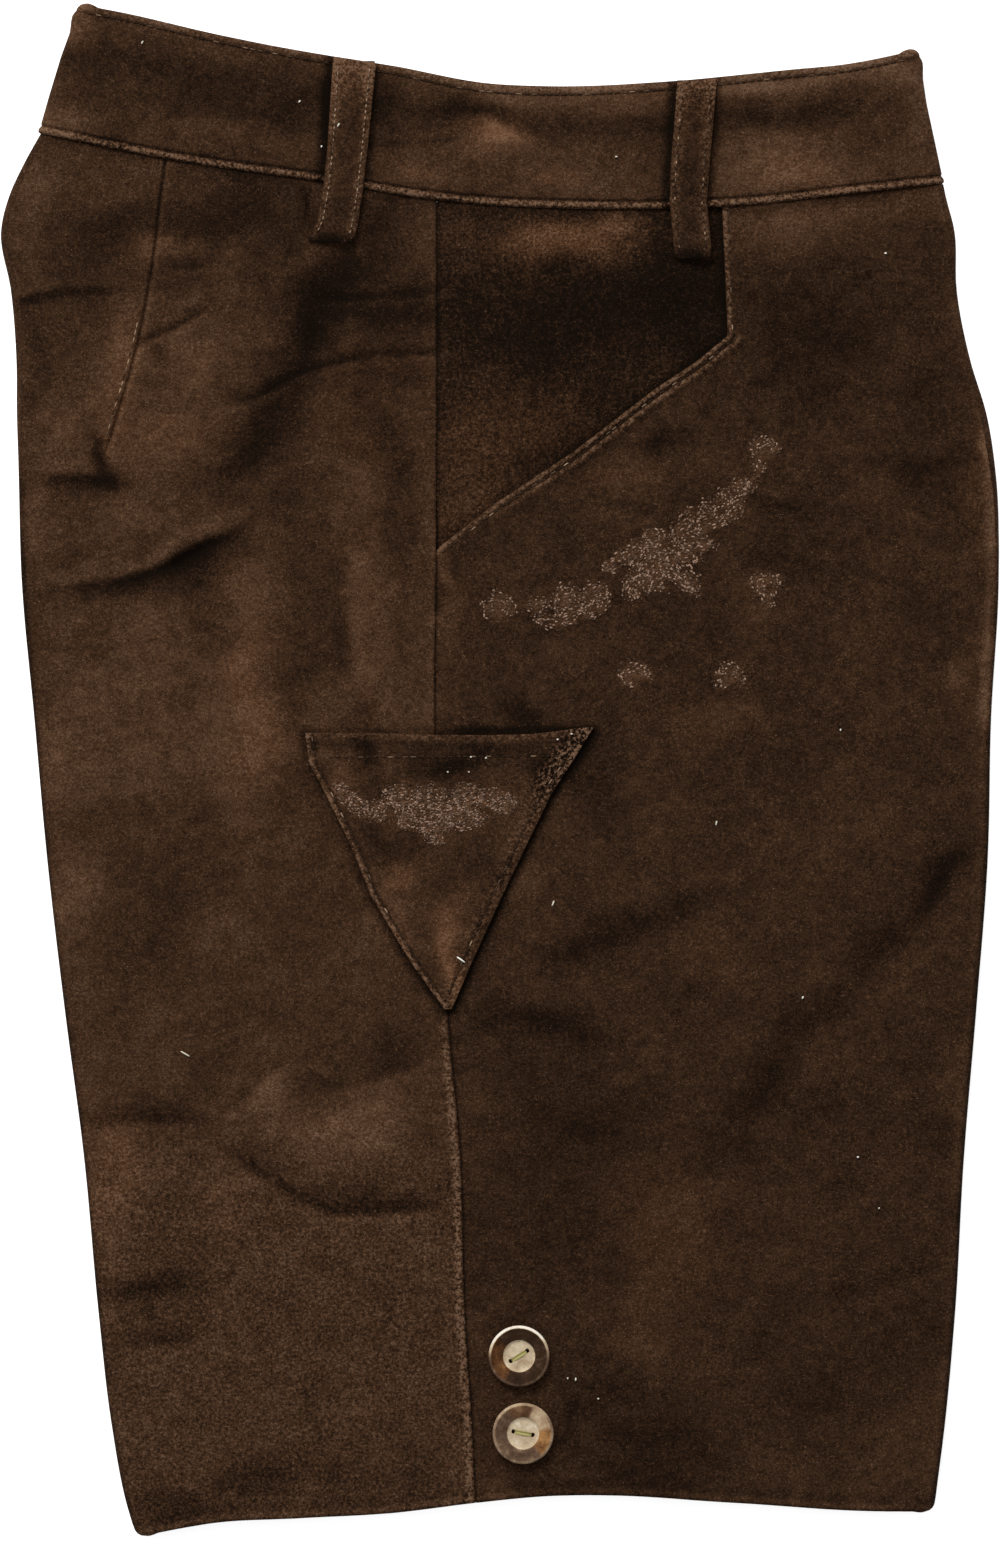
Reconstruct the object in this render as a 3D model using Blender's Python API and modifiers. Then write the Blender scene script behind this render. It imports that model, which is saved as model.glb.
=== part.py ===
"""Leather shorts (lederhosen) lying flat on their left side.

X runs from the centre back fold (-) to the centre front (+), Y from the hems to the waist, and Z up from
the surface that the shorts lie on. The right half lies on the left half: between the two outer layers the
legs add one inner layer each, and the crotch seam is a U that joins the halves. All sizes are in
millimetres, on the middle of each wall, and become metres where a mesh is made.
"""

import math

import bmesh
import bpy
import numpy as np

MM = 0.001
RIGHT, LEFT = 1, -1  # the upper half and the half on the surface
FRONT, BACK = 1, -1  # towards the centre front and towards the centre back

# Leather and gaps
LEATHER = 1.3
BAND = 2.8  # the waistband is two thicknesses sewn together
SEAM_GAP = 0.3  # between two pieces that meet at a seam
LAY_GAP = 0.3  # between a piece and what it lies on
INNER_HEIGHT = 0.85  # of each leg's inner layer from the plane between the halves
ON_PANEL = LEATHER + LAY_GAP  # from the middle of a panel to the middle of a piece lying on it

# Heights above the surface, on the middle of each wall
LEFT_FLAT, LEFT_AT_WAIST = LEATHER / 2, 1.85
RIGHT_TRUNK, RIGHT_LEG, RIGHT_AT_WAIST = 6.3, 9.8, 7.2
MIDDLE_TRUNK, MIDDLE_LEG, MIDDLE_WAIST = 3.5, 4.05, 4.45
BAND_LEFT, BAND_RIGHT = BAND / 2, 7.5
BAND_SAG = 0.5  # the waistband's middle lies lower than its two edges

# Folded edges at the centre front and the centre back
FOLD_WIDTH, FOLD_WIDTH_AT_CROTCH, CROTCH_NEAR = 4.0, 2.0, 50.0
TIGHTEST_FOLD = 1.0  # radius
UPRIGHT = 0.7  # of the last step, where an edge stands upright on the plane between the halves

# Crotch seam, a U between the halves: where it leaves the front and back edges, and its lowest point
CROTCH_TOP_FRONT, CROTCH_TOP_BACK, CROTCH_X, CROTCH_Y, CROTCH_POWER = 95.0, 125.0, 5.0, -15.0, 1.8
LEG_RISE, WAIST_RISE, LEFT_WAIST_RISE = 70.0, 45.0, 14.0  # over which the layers climb

# Height, centre back edge, side seam, centre front edge
OUTLINE = (
    (256, -183.0, -25.6, 175.0),
    (242, -190.8, -25.6, 175.6),
    (230, -196.4, -25.6, 177.6),
    (216, -199.9, -25.6, 181.2),
    (192, -196.0, -25.6, 182.2),
    (164, -193.8, -25.6, 187.6),
    (142, -193.6, -25.6, 194.2),
    (118, -192.8, -25.7, 197.9),
    (76, -191.6, -25.9, 198.9),
    (20, -186.4, -26.3, 195.8),
    (-36, -181.2, -23.6, 194.4),
    (-96, -174.2, -21.2, 189.8),
    (-156, -166.4, -16.0, 184.8),
    (-216, -160.8, -14.4, 181.4),
    (-262, -155.4, -11.4, 177.2),
    (-292, -149.8, -10.2, 173.4),
    (-308, -145.0, -10.0, 171.6),
)
OUTLINE_BACK, OUTLINE_SEAM, OUTLINE_FRONT = 1, 2, 3

# Each edge as (x, y)
HEM = (
    (-146, -306.6), (-132, -303.6), (-117, -300.8), (-80, -298.6), (-42, -296.4), (-10, -292.4),
    (18, -289.8), (45, -289.6), (90, -292.4), (150, -296.0), (173, -296.0),
)
WAIST_SEAM = (
    (-184, 254.2), (-134, 244.0), (-72, 234.8), (-26, 227.6), (0, 225.2),
    (34, 224.0), (68, 224.0), (100, 225.6), (132, 229.2), (177, 234.2),
)
WAIST_TOP = (
    (-170, 306.6), (-150, 302.8), (-114, 294.4), (-78, 287.2), (-42, 281.2), (-6, 274.4),
    (18, 273.2), (66, 275.2), (114, 280.0), (138, 282.4), (167, 288.2),
)

# Share of the waistband's height, its centre back end, its centre front end
BAND_ENDS = (
    (0.0, -184.8, 176.9),
    (0.3, -180.6, 173.6),
    (0.6, -176.0, 170.2),
    (0.8, -172.2, 168.6),
    (0.9, -171.8, 168.8),
    (1.0, -168.6, 166.6),
)

# Hip pocket mouth, as height and the x of the front panel's edge
POCKET_MOUTH = (
    (88.4, -25.6), (106.8, -2.0), (126.8, 28.4), (152.0, 61.2), (163.6, 78.6), (173.6, 90.6), (226.0, 88.2),
)
POCKET_FOOT, POCKET_CORNER = 0.735, 0.9  # shares of the way from hem to waist seam
UNDERLAP = 12.0  # of the facing beneath the front panel
FACING_SLOPE = 25.0  # over which the facing sinks from the side seam's level

# Knife pocket: height, left edge, right edge
KNIFE_POCKET = (
    (15.0, -78.4, 37.2),
    (3.0, -76.8, 29.0),
    (-10.0, -70.0, 20.0),
    (-31.0, -59.8, 9.8),
    (-50.0, -52.2, 0.7),
    (-77.0, -36.0, -11.6),
    (-91.0, -25.8, -17.6),
    (-95.5, -22.6, -19.6),
)
KNIFE_POCKET_GAPE = 0.8  # of its mouth

# Belt loops: name, top x, bottom x, bottom y, width
BELT_LOOPS = (
    ("back", -58.4, -66.2, 211.0, 16.0),
    ("front", 78.2, 75.6, 205.0, 15.6),
)
LOOP_STEP = 12.0  # below the waist seam, over which a loop comes down to the panel
LOOP_SLACK = 0.9  # of the loop over the waistband, for the belt

# Buttons: name, x, y, turn of the two holes in degrees
HEM_BUTTONS = (("upper", 7.2, -233.6, 32.0), ("lower", 8.8, -264.4, -10.0))
HEM_BUTTON_RADIUS, FLY_BUTTON_RADIUS = 12.2, 9.0
BUTTON_HEIGHT, BUTTON_WEB = 0.28, 0.155  # over the radius
FLY_BUTTON_X, FLY_BUTTON_Y = 140.0, 257.0
HOLE_RADIUS, HOLE_SPREAD = 0.9, 0.31  # the spread is the holes' distance from the centre over the radius

# What the left half's loops and buttons push up: x, y, half width, half height, then how far they lift
# the left layer, the plane between the halves and the right layer
LUMPS = (
    (-62.5, 247.0, 17.0, 48.0, 1.7, 1.2, 0.7),
    (77.0, 244.0, 15.0, 46.0, 1.7, 1.2, 0.9),
    (6.0, -257.0, 19.0, 43.0, 3.75, 3.2, 0.5),
    (FLY_BUTTON_X, FLY_BUTTON_Y, 12.5, 15.0, 2.9, 1.9, 0.6),
)
LUMP_FADE = 18.0
MIDDLE_SPREAD = 10.0  # how much farther a lump reaches at the plane between the halves

# The right half's largest folds: depth, half width, then the path along the bottom
FOLDS = (
    (2.4, 10.0, ((-182, 72), (-149, 77), (-130, 85), (-111, 94), (-90, 106))),  # seat
    (2.4, 15.0, ((-58, 206), (-73, 180), (-92, 138), (-105, 120))),  # down from the back loop
    (1.2, 9.0, ((-28, 169), (-60, 162), (-80, 156), (-108, 148))),  # hip
    (1.0, 8.0, ((-190, 189), (-146, 192))),  # below the back of the waistband
    (1.3, 9.0, ((-178, 116), (-155, 117))),  # at the dart's end
    (1.2, 11.0, ((-76, 112), (-78, 40), (-76, -10))),  # along the thigh
    (2.0, 10.0, ((-155, -141), (-122, -143), (-110, -153), (-93, -162), (-56, -176), (-20, -174))),  # knee
    (1.3, 9.0, ((-80, -131), (-56, -122), (-34, -114))),  # above the knee
    (1.8, 13.0, ((186, -38), (143, -84), (115, -120), (95, -144), (75, -152))),  # across the front
    (1.2, 11.0, ((34, -76), (56, -60), (80, -54))),  # beside the knife pocket
    (1.4, 16.0, ((110, 196), (165, 200))),  # below the front of the waistband
)
POCKET_BULK_X, POCKET_BULK_Y = (-4.0, 118.0), (96.0, 240.0)  # where two facings fill the hollow

# Mesh steps: how many, or the shares of the way at which columns stand
PANEL_ROWS, BAND_ROWS, LOOP_ROWS, FACING_ROWS, FACING_COLUMNS, KNIFE_COLUMNS = 24, 4, 9, 7, 4, 8
RIGHT_COLUMNS = tuple(np.linspace(0, 1, 12)[:-1])
LEFT_BACK_COLUMNS, LEFT_FRONT_COLUMNS = (0.0, 0.13, 0.33, 0.46, 0.72), (0.0, 0.2, 0.3, 0.62)
ARC_COLUMNS, INNER_COLUMNS = 4, (0.4, 0.77, 0.88, 1.0)
BAND_COLUMNS = (-158, -128, -100, -79, -46, -20, 8, 36, 63, 91, 112, 128, 152)
BUTTON_STEPS, HOLE_STEPS = 20, 6


# --- Curves and heights ---


def smooth(t):
    t = np.clip(t, 0.0, 1.0)
    return t * t * (3 - 2 * t)


def read_curve(table, column, at):
    """A column of the table at this value of its first column, on a smooth curve through the rows."""
    rows = sorted(table)
    known = np.array([row[0] for row in rows], float)
    values = np.array([row[column] for row in rows], float)
    slopes = np.gradient(values, known)
    first = np.clip(np.searchsorted(known, at) - 1, 0, len(known) - 2)
    step = known[first + 1] - known[first]
    t = np.clip((at - known[first]) / step, 0.0, 1.0)
    ease = smooth(t)
    return (
        values[first] * (1 - ease)
        + values[first + 1] * ease
        + step * slopes[first] * t * (1 - t) ** 2
        - step * slopes[first + 1] * t**2 * (1 - t)
    )


def edge_at(toward, y):
    return read_curve(OUTLINE, OUTLINE_FRONT if toward == FRONT else OUTLINE_BACK, y)


def seam_at(y):
    return read_curve(OUTLINE, OUTLINE_SEAM, y)


def mouth_at(y):
    """The front panel's edge beside the side seam, which the pocket mouth cuts away."""
    heights, edges = zip(*POCKET_MOUTH)
    return np.where(y < heights[0], seam_at(y), np.interp(y, heights, edges))


def row_level(x, share):
    """Height of a row that lies this share of the way from the hem to the waist seam."""
    return (1 - share) * read_curve(HEM, 1, x) + share * (read_curve(WAIST_SEAM, 1, x) - SEAM_GAP / 2)


def where_row_meets(line, share):
    """The point where a row crosses a line that is given as x for a height."""
    x = line(0.0)
    for _ in range(14):
        x = line(row_level(x, share))
    return x


def below_crotch_top(toward, y):
    """0 where the crotch seam leaves the edge and 1 at its lowest point."""
    top = np.where(toward == FRONT, CROTCH_TOP_FRONT, CROTCH_TOP_BACK)
    return np.maximum(top - y, 0.0) / (top - CROTCH_Y)


def past_crotch_seam(x, y):
    """Below 1 in the trunk, 1 on the U of the crotch seam and over 1 in the legs."""
    toward = np.where(x > CROTCH_X, FRONT, BACK)
    reach = np.abs(np.where(toward == FRONT, edge_at(FRONT, y), edge_at(BACK, y)) - CROTCH_X)
    across = np.abs(x - CROTCH_X) / reach
    down = below_crotch_top(toward, y)
    return (across**CROTCH_POWER + down**CROTCH_POWER) ** (1 / CROTCH_POWER)


def leg_share(x, y):
    return smooth((past_crotch_seam(x, y) - 1) * (CROTCH_TOP_FRONT - CROTCH_Y) / LEG_RISE)


def waist_share(x, y, rise):
    return 1 - smooth((read_curve(WAIST_SEAM, 1, x) - y) / rise)


def lumps(x, y, column, spread=0.0):
    total = 0.0
    for row in LUMPS:
        out = np.maximum(np.abs(x - row[0]) - row[2], np.abs(y - row[1]) - row[3]) - spread
        total = np.maximum(total, row[column] * (1 - smooth(out / LUMP_FADE)))
    return total


def path_distance(x, y, path):
    nearest = np.inf
    for (x0, y0), (x1, y1) in zip(path, path[1:]):
        length = (x1 - x0) ** 2 + (y1 - y0) ** 2
        t = np.clip(((x - x0) * (x1 - x0) + (y - y0) * (y1 - y0)) / length, 0.0, 1.0)
        nearest = np.minimum(nearest, np.hypot(x - x0 - t * (x1 - x0), y - y0 - t * (y1 - y0)))
    return nearest


def fold_depth(x, y):
    depth = 0.0
    for deep, width, path in FOLDS:
        depth = np.maximum(depth, deep * np.exp(-((path_distance(x, y, path) / width) ** 2)))
    (west, east), (south, north) = POCKET_BULK_X, POCKET_BULK_Y
    out = np.maximum(np.maximum(west - x, x - east), np.maximum(south - y, y - north))
    return depth * smooth(out / LUMP_FADE)


def middle_height(x, y):
    """Of the plane between the right half and the left half."""
    return (
        MIDDLE_TRUNK
        + (MIDDLE_LEG - MIDDLE_TRUNK) * leg_share(x, y)
        + (MIDDLE_WAIST - MIDDLE_TRUNK) * waist_share(x, y, WAIST_RISE)
        + lumps(x, y, 5, MIDDLE_SPREAD)
    )


def outer_height(side, x, y):
    """Of a half's outer layer. The left one is flat on the surface."""
    at_waist = (LEFT_AT_WAIST - LEFT_FLAT) * waist_share(x, y, LEFT_WAIST_RISE)
    left = LEFT_FLAT + np.maximum(at_waist, lumps(x, y, 4))
    if side == LEFT:
        return left
    high = (
        RIGHT_TRUNK
        + (RIGHT_LEG - RIGHT_TRUNK) * leg_share(x, y)
        + (RIGHT_AT_WAIST - RIGHT_TRUNK) * waist_share(x, y, WAIST_RISE)
        + lumps(x, y, 6)
    )
    inner_layers = smooth((past_crotch_seam(x, y) - 0.72) / 0.14)
    lowest = left + ON_PANEL
    lowest = lowest + inner_layers * (middle_height(x, y) + INNER_HEIGHT + ON_PANEL - lowest)
    return np.maximum(high - fold_depth(x, y), np.minimum(lowest, high))


# --- Sheets of leather, each a grid of points (rows, columns, xyz) ---


def folded_edge(side, toward, tip, inset, widest, outer, middle):
    """The round edge of a layer that turns over at the centre front or back.

    tip is the outermost x, inset how far inside it the layer ends. Returns the fold's width, its centre's
    and its own height from the plane between the halves, and the angle through which it turns.
    """
    width = widest
    for _ in range(6):
        turn = math.pi - math.asin(1 - min(inset, width) / width)
        start = tip - toward * width
        rise = side * (outer(start) - middle(start))
        upright = SEAM_GAP / 2 if inset < 1 else SEAM_GAP
        end = upright + (INNER_HEIGHT - upright) * max(0.0, -math.cos(turn))
        centre = (end - rise * math.cos(turn)) / (1 - math.cos(turn))
        width = min(widest, (rise - centre) ** 2 / TIGHTEST_FOLD)
    return width, centre, rise - centre, turn


def round_the_edge(side, toward, tip, end, widest, outer, middle):
    """Points (x, z) from the fold's start on, round it and in along the inner layer to its end."""
    inset = abs(tip - end)
    width, centre, drop, turn = folded_edge(side, toward, tip, inset, widest, outer, middle)
    inner = inset > width + len(INNER_COLUMNS)
    angles = np.linspace(0, turn, ARC_COLUMNS + 1 + (0 if inner else len(INNER_COLUMNS)))
    if inset < 1:  # the edge stands upright on the middle plane
        angles = np.append(np.linspace(0, turn, len(angles) - 1), turn)
        centre += UPRIGHT
        drop -= UPRIGHT
    x = tip - toward * width * (1 - np.sin(angles))
    height = centre + drop * np.cos(angles)
    if inset < 1:
        height[-1] -= UPRIGHT
    z = middle(x) + side * height
    if inner:
        more = x[-1] + (end - x[-1]) * np.array(INNER_COLUMNS)
        x = np.append(x, more)
        z = np.append(z, middle(more) + side * INNER_HEIGHT)
    return x, z


def panel_row(side, toward, share, first_edge, columns):
    """One row of a leg panel, from its side edge out to the fold, round it and in to the crotch or inseam."""
    tip = where_row_meets(lambda y: edge_at(toward, y), share) - toward * LEATHER / 2
    start = where_row_meets(first_edge, share) + toward * SEAM_GAP / 2
    inseam = CROTCH_X + toward * SEAM_GAP / 2
    end = inseam
    for _ in range(8):
        down = below_crotch_top(toward, row_level(end, share))
        end = inseam + (tip - inseam) * max(0.0, 1 - down**CROTCH_POWER) ** (1 / CROTCH_POWER)

    def outer(x):
        return outer_height(side, x, row_level(x, share))

    def middle(x):
        return middle_height(x, row_level(x, share))

    above = row_level(tip, share) - (CROTCH_TOP_FRONT if toward == FRONT else CROTCH_TOP_BACK)
    widest = FOLD_WIDTH_AT_CROTCH + (FOLD_WIDTH - FOLD_WIDTH_AT_CROTCH) * smooth(abs(above) / CROTCH_NEAR)
    fold_x, fold_z = round_the_edge(side, toward, tip, end, widest, outer, middle)
    flat_x = start + (fold_x[0] - start) * np.array(columns)
    x = np.append(flat_x, fold_x)
    return np.stack([x, row_level(x, share), np.append(outer(flat_x), fold_z)], axis=-1)


def panel(side, toward):
    """A front or back panel, whose front version has the pocket mouth cut out of its side."""
    if toward == FRONT:
        below = np.linspace(0, POCKET_FOOT, PANEL_ROWS - 7)
        diagonal = np.linspace(POCKET_FOOT, POCKET_CORNER, 6)[1:]
        shares = [*below, *diagonal, *np.linspace(POCKET_CORNER, 1, 4)[1:]]
    else:
        shares = np.linspace(0, 1, PANEL_ROWS)
    first_edge = mouth_at if toward == FRONT else seam_at
    columns = columns_of(side, toward)
    return np.stack([panel_row(side, toward, share, first_edge, columns) for share in shares])


def columns_of(side, toward):
    if side == RIGHT:
        return RIGHT_COLUMNS
    return LEFT_FRONT_COLUMNS if toward == FRONT else LEFT_BACK_COLUMNS


def height_on(side, x, y, reach=0.0, outward=True):
    """The farthest out, or in, that a half's panels, as meshed, come within this reach of a point."""
    farthest = None
    sign = side if outward else -side
    for dx in (-reach, 0, reach):
        for dy in (-reach, 0, reach):
            toward = FRONT if x + dx > mouth_at(y + dy) else BACK
            if toward == BACK and x + dx > seam_at(y + dy):
                height = float(outer_height(side, x + dx, y + dy))
            else:
                flat = PANELS[side, toward][:, : len(columns_of(side, toward)) + 1][:, ::toward]
                levels = [np.interp(x + dx, row[:, 0], row[:, 1]) for row in flat]
                height = np.interp(y + dy, levels, [np.interp(x + dx, row[:, 0], row[:, 2]) for row in flat])
            farthest = height if farthest is None else sign * max(sign * height, sign * farthest)
    return farthest


def band_height(side, x, share):
    rest, lump = (BAND_RIGHT, 6) if side == RIGHT else (BAND_LEFT, 4)
    sag = BAND_SAG * 4 * share * (1 - share) if side == RIGHT else 0.0
    return rest - sag + lumps(x, band_level(x, share), lump)


def band_level(x, share):
    return (1 - share) * (read_curve(WAIST_SEAM, 1, x) + SEAM_GAP / 2) + share * read_curve(WAIST_TOP, 1, x)


def waistband(side):
    """Half the waistband, which turns over at both ends to meet the other half."""
    rows = []
    for share in np.linspace(0, 1, BAND_ROWS + 1):
        ends = {}
        for toward, column in ((BACK, 1), (FRONT, 2)):
            tip = np.interp(share, *zip(*[(row[0], row[column]) for row in BAND_ENDS])) - toward * BAND / 2

            def outer(x):
                return band_height(side, x, share)

            def middle(x):
                return MIDDLE_WAIST + lumps(x, band_level(x, share), 5)

            ends[toward] = round_the_edge(side, toward, tip, tip, FOLD_WIDTH, outer, middle)
        flat = np.array(BAND_COLUMNS, float)
        x = np.concatenate([ends[BACK][0][::-1], flat, ends[FRONT][0]])
        z = np.concatenate([ends[BACK][1][::-1], band_height(side, flat, share), ends[FRONT][1]])
        rows.append(np.stack([x, band_level(x, share), z], axis=-1))
    return np.stack(rows)


def pocket_facing(side):
    """The leather that shows in the hip pocket's mouth, and runs on beneath the front panel."""
    rows = []
    for share in np.linspace(POCKET_FOOT, 1, FACING_ROWS):
        mouth = where_row_meets(mouth_at, share)
        start = where_row_meets(seam_at, share) + SEAM_GAP / 2
        below_edge = max(mouth - 3, start + 4)
        shown = np.linspace(start, below_edge, FACING_COLUMNS + 1)
        x = np.append(shown, [below_edge + 7, below_edge + 3 + UNDERLAP])
        y = row_level(x, share)
        sunk = ON_PANEL * (1 - smooth((below_edge - x) / FACING_SLOPE))
        on_panel = np.array([height_on(side, *point, 3.0, outward=False) for point in zip(x, y)])
        rows.append(np.stack([x, y, on_panel - side * sunk], axis=-1))
    return np.stack(rows)


def knife_pocket():
    rows = []
    top, foot = KNIFE_POCKET[0][0], KNIFE_POCKET[-1][0]
    for y, left, right in KNIFE_POCKET:
        x = np.linspace(left, right, KNIFE_COLUMNS + 1)
        gape = KNIFE_POCKET_GAPE * ((y - foot) / (top - foot)) ** 4
        arch = gape * np.sin(np.linspace(0, math.pi, KNIFE_COLUMNS + 1))
        z = np.array([height_on(RIGHT, at, y, 5.0) for at in x]) + ON_PANEL + arch
        rows.append(np.stack([x, np.full_like(x, y), z], axis=-1))
    return np.stack(rows)


def belt_loop(side, top_x, foot_x, foot_y, width):
    rows = []
    top_y = read_curve(WAIST_TOP, 1, top_x) - 0.4
    for down in np.linspace(0, 1, LOOP_ROWS):
        centre = top_x + (foot_x - top_x) * down
        y = top_y + (foot_y - top_y) * down
        seam = read_curve(WAIST_SEAM, 1, centre)
        on_band = 1 - smooth((seam - 2 - y) / LOOP_STEP)
        share = np.clip((y - seam) / (top_y - seam), 0, 1)
        x = np.array([centre - width / 2, centre, centre + width / 2])
        if side == LEFT:
            z = np.full(3, LEATHER / 2)
        else:
            over_band = band_height(RIGHT, x, share) + BAND / 2 + LOOP_SLACK * math.sin(math.pi * share)
            over_panel = height_on(RIGHT, centre, y, width / 2) + LEATHER / 2
            z = over_panel + (over_band - over_panel) * on_band + LAY_GAP + LEATHER / 2
        rows.append(np.stack([x, np.full(3, y), z], axis=-1))
    return np.stack(rows)


# --- Objects ---


def clear_scene():
    for obj in list(bpy.data.objects):
        bpy.data.objects.remove(obj, do_unlink=True)


def new_collection(name):
    collection = bpy.data.collections.new(name)
    bpy.context.scene.collection.children.link(collection)
    return collection


def new_material(name, colour, roughness):
    material = bpy.data.materials.new(name)
    material.use_nodes = True
    shader = material.node_tree.nodes["Principled BSDF"]
    shader.inputs["Base Color"].default_value = (*colour, 1.0)
    shader.inputs["Roughness"].default_value = roughness
    shader.inputs["Metallic"].default_value = 0.0
    return material


def add_sheet(collection, name, grid, thickness, material):
    """A grid of points in mm as an open surface, made a wall by Solidify."""
    rows, columns, _ = grid.shape
    mesh = bpy.data.meshes.new(name)
    work = bmesh.new()
    vertices = [[work.verts.new(point) for point in row] for row in grid * MM]
    for r in range(rows - 1):
        for c in range(columns - 1):
            corners = vertices[r][c], vertices[r][c + 1], vertices[r + 1][c + 1], vertices[r + 1][c]
            work.faces.new(corners)
    bmesh.ops.recalc_face_normals(work, faces=work.faces)
    work.to_mesh(mesh)
    work.free()
    mesh.shade_smooth()
    sheet = bpy.data.objects.new(name, mesh)
    sheet.data.materials.append(material)
    collection.objects.link(sheet)
    wall = sheet.modifiers.new("Wall", "SOLIDIFY")
    wall.thickness = thickness * MM
    wall.offset = 0.0
    return sheet


def add_cylinder(collection, name, radius, height, x, steps):
    work = bmesh.new()
    bmesh.ops.create_cone(
        work, cap_ends=True, segments=steps, radius1=radius * MM, radius2=radius * MM, depth=height * MM
    )
    bmesh.ops.translate(work, verts=work.verts, vec=(x * MM, 0, 0))
    mesh = bpy.data.meshes.new(name)
    work.to_mesh(mesh)
    work.free()
    cylinder = bpy.data.objects.new(name, mesh)
    cylinder.hide_render = True
    cylinder.display_type = "WIRE"
    collection.objects.link(cylinder)
    return cylinder


def button_mesh(radius, collection):
    """A horn button with a raised rim, a sunk centre and two holes, as a mesh with its foot on z = 0."""
    profile = (
        (0.0, BUTTON_WEB),
        (0.5, BUTTON_WEB),
        (0.58, BUTTON_HEIGHT - 0.04),
        (0.92, BUTTON_HEIGHT),
        (1.0, BUTTON_HEIGHT - 0.065),
        (0.72, 0.0),
        (0.0, 0.0),
    )
    mesh = bpy.data.meshes.new("button_profile")
    points = [(radius * r * MM, 0, radius * z * MM) for r, z in profile]
    mesh.from_pydata(points, [(i, i + 1) for i in range(len(points) - 1)], [])
    turned = bpy.data.objects.new("button_pattern", mesh)
    collection.objects.link(turned)
    turned.hide_render = True
    screw = turned.modifiers.new("Turned", "SCREW")
    screw.steps = screw.render_steps = BUTTON_STEPS
    screw.use_merge_vertices = True
    screw.merge_threshold = 0.00001
    for sign in (-1, 1):
        hole = add_cylinder(collection, "button_hole", HOLE_RADIUS, 10.0, sign * HOLE_SPREAD * radius, HOLE_STEPS)
        cut = turned.modifiers.new("Hole", "BOOLEAN")
        cut.object = hole
        cut.solver = "EXACT"
    bpy.context.view_layer.update()
    evaluated = turned.evaluated_get(bpy.context.evaluated_depsgraph_get())
    finished = bpy.data.meshes.new_from_object(evaluated)
    for helper in list(collection.objects):
        bpy.data.objects.remove(helper, do_unlink=True)
    return finished


def add_button(collection, name, mesh, x, y, foot, turn, face_down, material):
    button = bpy.data.objects.new(name, mesh)
    collection.objects.link(button)
    button.location = (x * MM, y * MM, foot * MM)
    button.rotation_euler = (math.pi if face_down else 0.0, 0.0, math.radians(turn))
    if not mesh.materials:
        mesh.materials.append(material)
    return button


def build():
    clear_scene()
    shorts = new_collection("lederhosen")
    cutters = new_collection("cutters")
    suede = new_material("suede", (0.045, 0.024, 0.013), 0.95)
    facing_suede = new_material("facing_suede", (0.026, 0.014, 0.008), 0.95)
    horn = new_material("horn", (0.12, 0.08, 0.05), 0.35)

    for side, word in ((RIGHT, "right"), (LEFT, "left")):
        for toward, part in ((FRONT, "front"), (BACK, "back")):
            PANELS[side, toward] = panel(side, toward)
            add_sheet(shorts, f"{word}_{part}", PANELS[side, toward], LEATHER, suede)
        add_sheet(shorts, f"waistband_{word}", waistband(side), BAND, suede)
        add_sheet(shorts, f"pocket_facing_{word}", pocket_facing(side), LEATHER, facing_suede)
        for part, *sizes in BELT_LOOPS:
            add_sheet(shorts, f"belt_loop_{word}_{part}", belt_loop(side, *sizes), LEATHER, suede)
    add_sheet(shorts, "knife_pocket", knife_pocket(), LEATHER, suede)

    hem_button = button_mesh(HEM_BUTTON_RADIUS, cutters)
    fly_button = button_mesh(FLY_BUTTON_RADIUS, cutters)
    for part, x, y, turn in HEM_BUTTONS:
        foot = height_on(RIGHT, x, y, HEM_BUTTON_RADIUS) + LEATHER / 2 + LAY_GAP
        add_button(shorts, f"hem_button_right_{part}", hem_button, x, y, foot, turn, False, horn)
        top = HEM_BUTTON_RADIUS * BUTTON_HEIGHT
        add_button(shorts, f"hem_button_left_{part}", hem_button, x, y, top, -turn, True, horn)
    top = FLY_BUTTON_RADIUS * BUTTON_HEIGHT
    add_button(shorts, "fly_button", fly_button, FLY_BUTTON_X, FLY_BUTTON_Y, top, 0.0, True, horn)


PANELS = {}
build()
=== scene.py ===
"""The looks of suede lederhosen that lie flat on their left side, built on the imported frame.

Places and sizes are in millimetres in the frame's axes: X to the wearer's front, Y to the waist, Z up from
the surface that the shorts lie on. They become metres where a mesh is made. Each leather piece is a shell
with round cut edges on the form of its solid; the sewing, the embroidery and the buttons lie on it.
"""

import math

import bpy
import numpy as np
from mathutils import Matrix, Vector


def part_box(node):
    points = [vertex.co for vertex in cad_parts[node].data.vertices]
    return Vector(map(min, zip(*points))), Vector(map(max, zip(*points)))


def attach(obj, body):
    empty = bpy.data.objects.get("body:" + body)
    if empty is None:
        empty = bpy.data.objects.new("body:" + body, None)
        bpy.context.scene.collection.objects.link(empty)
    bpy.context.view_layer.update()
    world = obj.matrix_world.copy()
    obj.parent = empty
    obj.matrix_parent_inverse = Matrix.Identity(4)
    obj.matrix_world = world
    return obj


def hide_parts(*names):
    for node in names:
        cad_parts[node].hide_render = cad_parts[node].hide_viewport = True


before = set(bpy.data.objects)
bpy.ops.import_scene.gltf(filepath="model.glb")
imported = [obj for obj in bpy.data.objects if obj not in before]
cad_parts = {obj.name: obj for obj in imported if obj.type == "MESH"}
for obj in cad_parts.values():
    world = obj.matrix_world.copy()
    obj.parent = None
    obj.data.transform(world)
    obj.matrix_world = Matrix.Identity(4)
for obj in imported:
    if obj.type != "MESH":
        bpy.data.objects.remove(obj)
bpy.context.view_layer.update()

MM = 0.001
RIGHT, LEFT = 1, -1  # the upper half and the half on the surface
FRONT, BACK = 1, -1  # towards the centre front and towards the centre back
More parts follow.
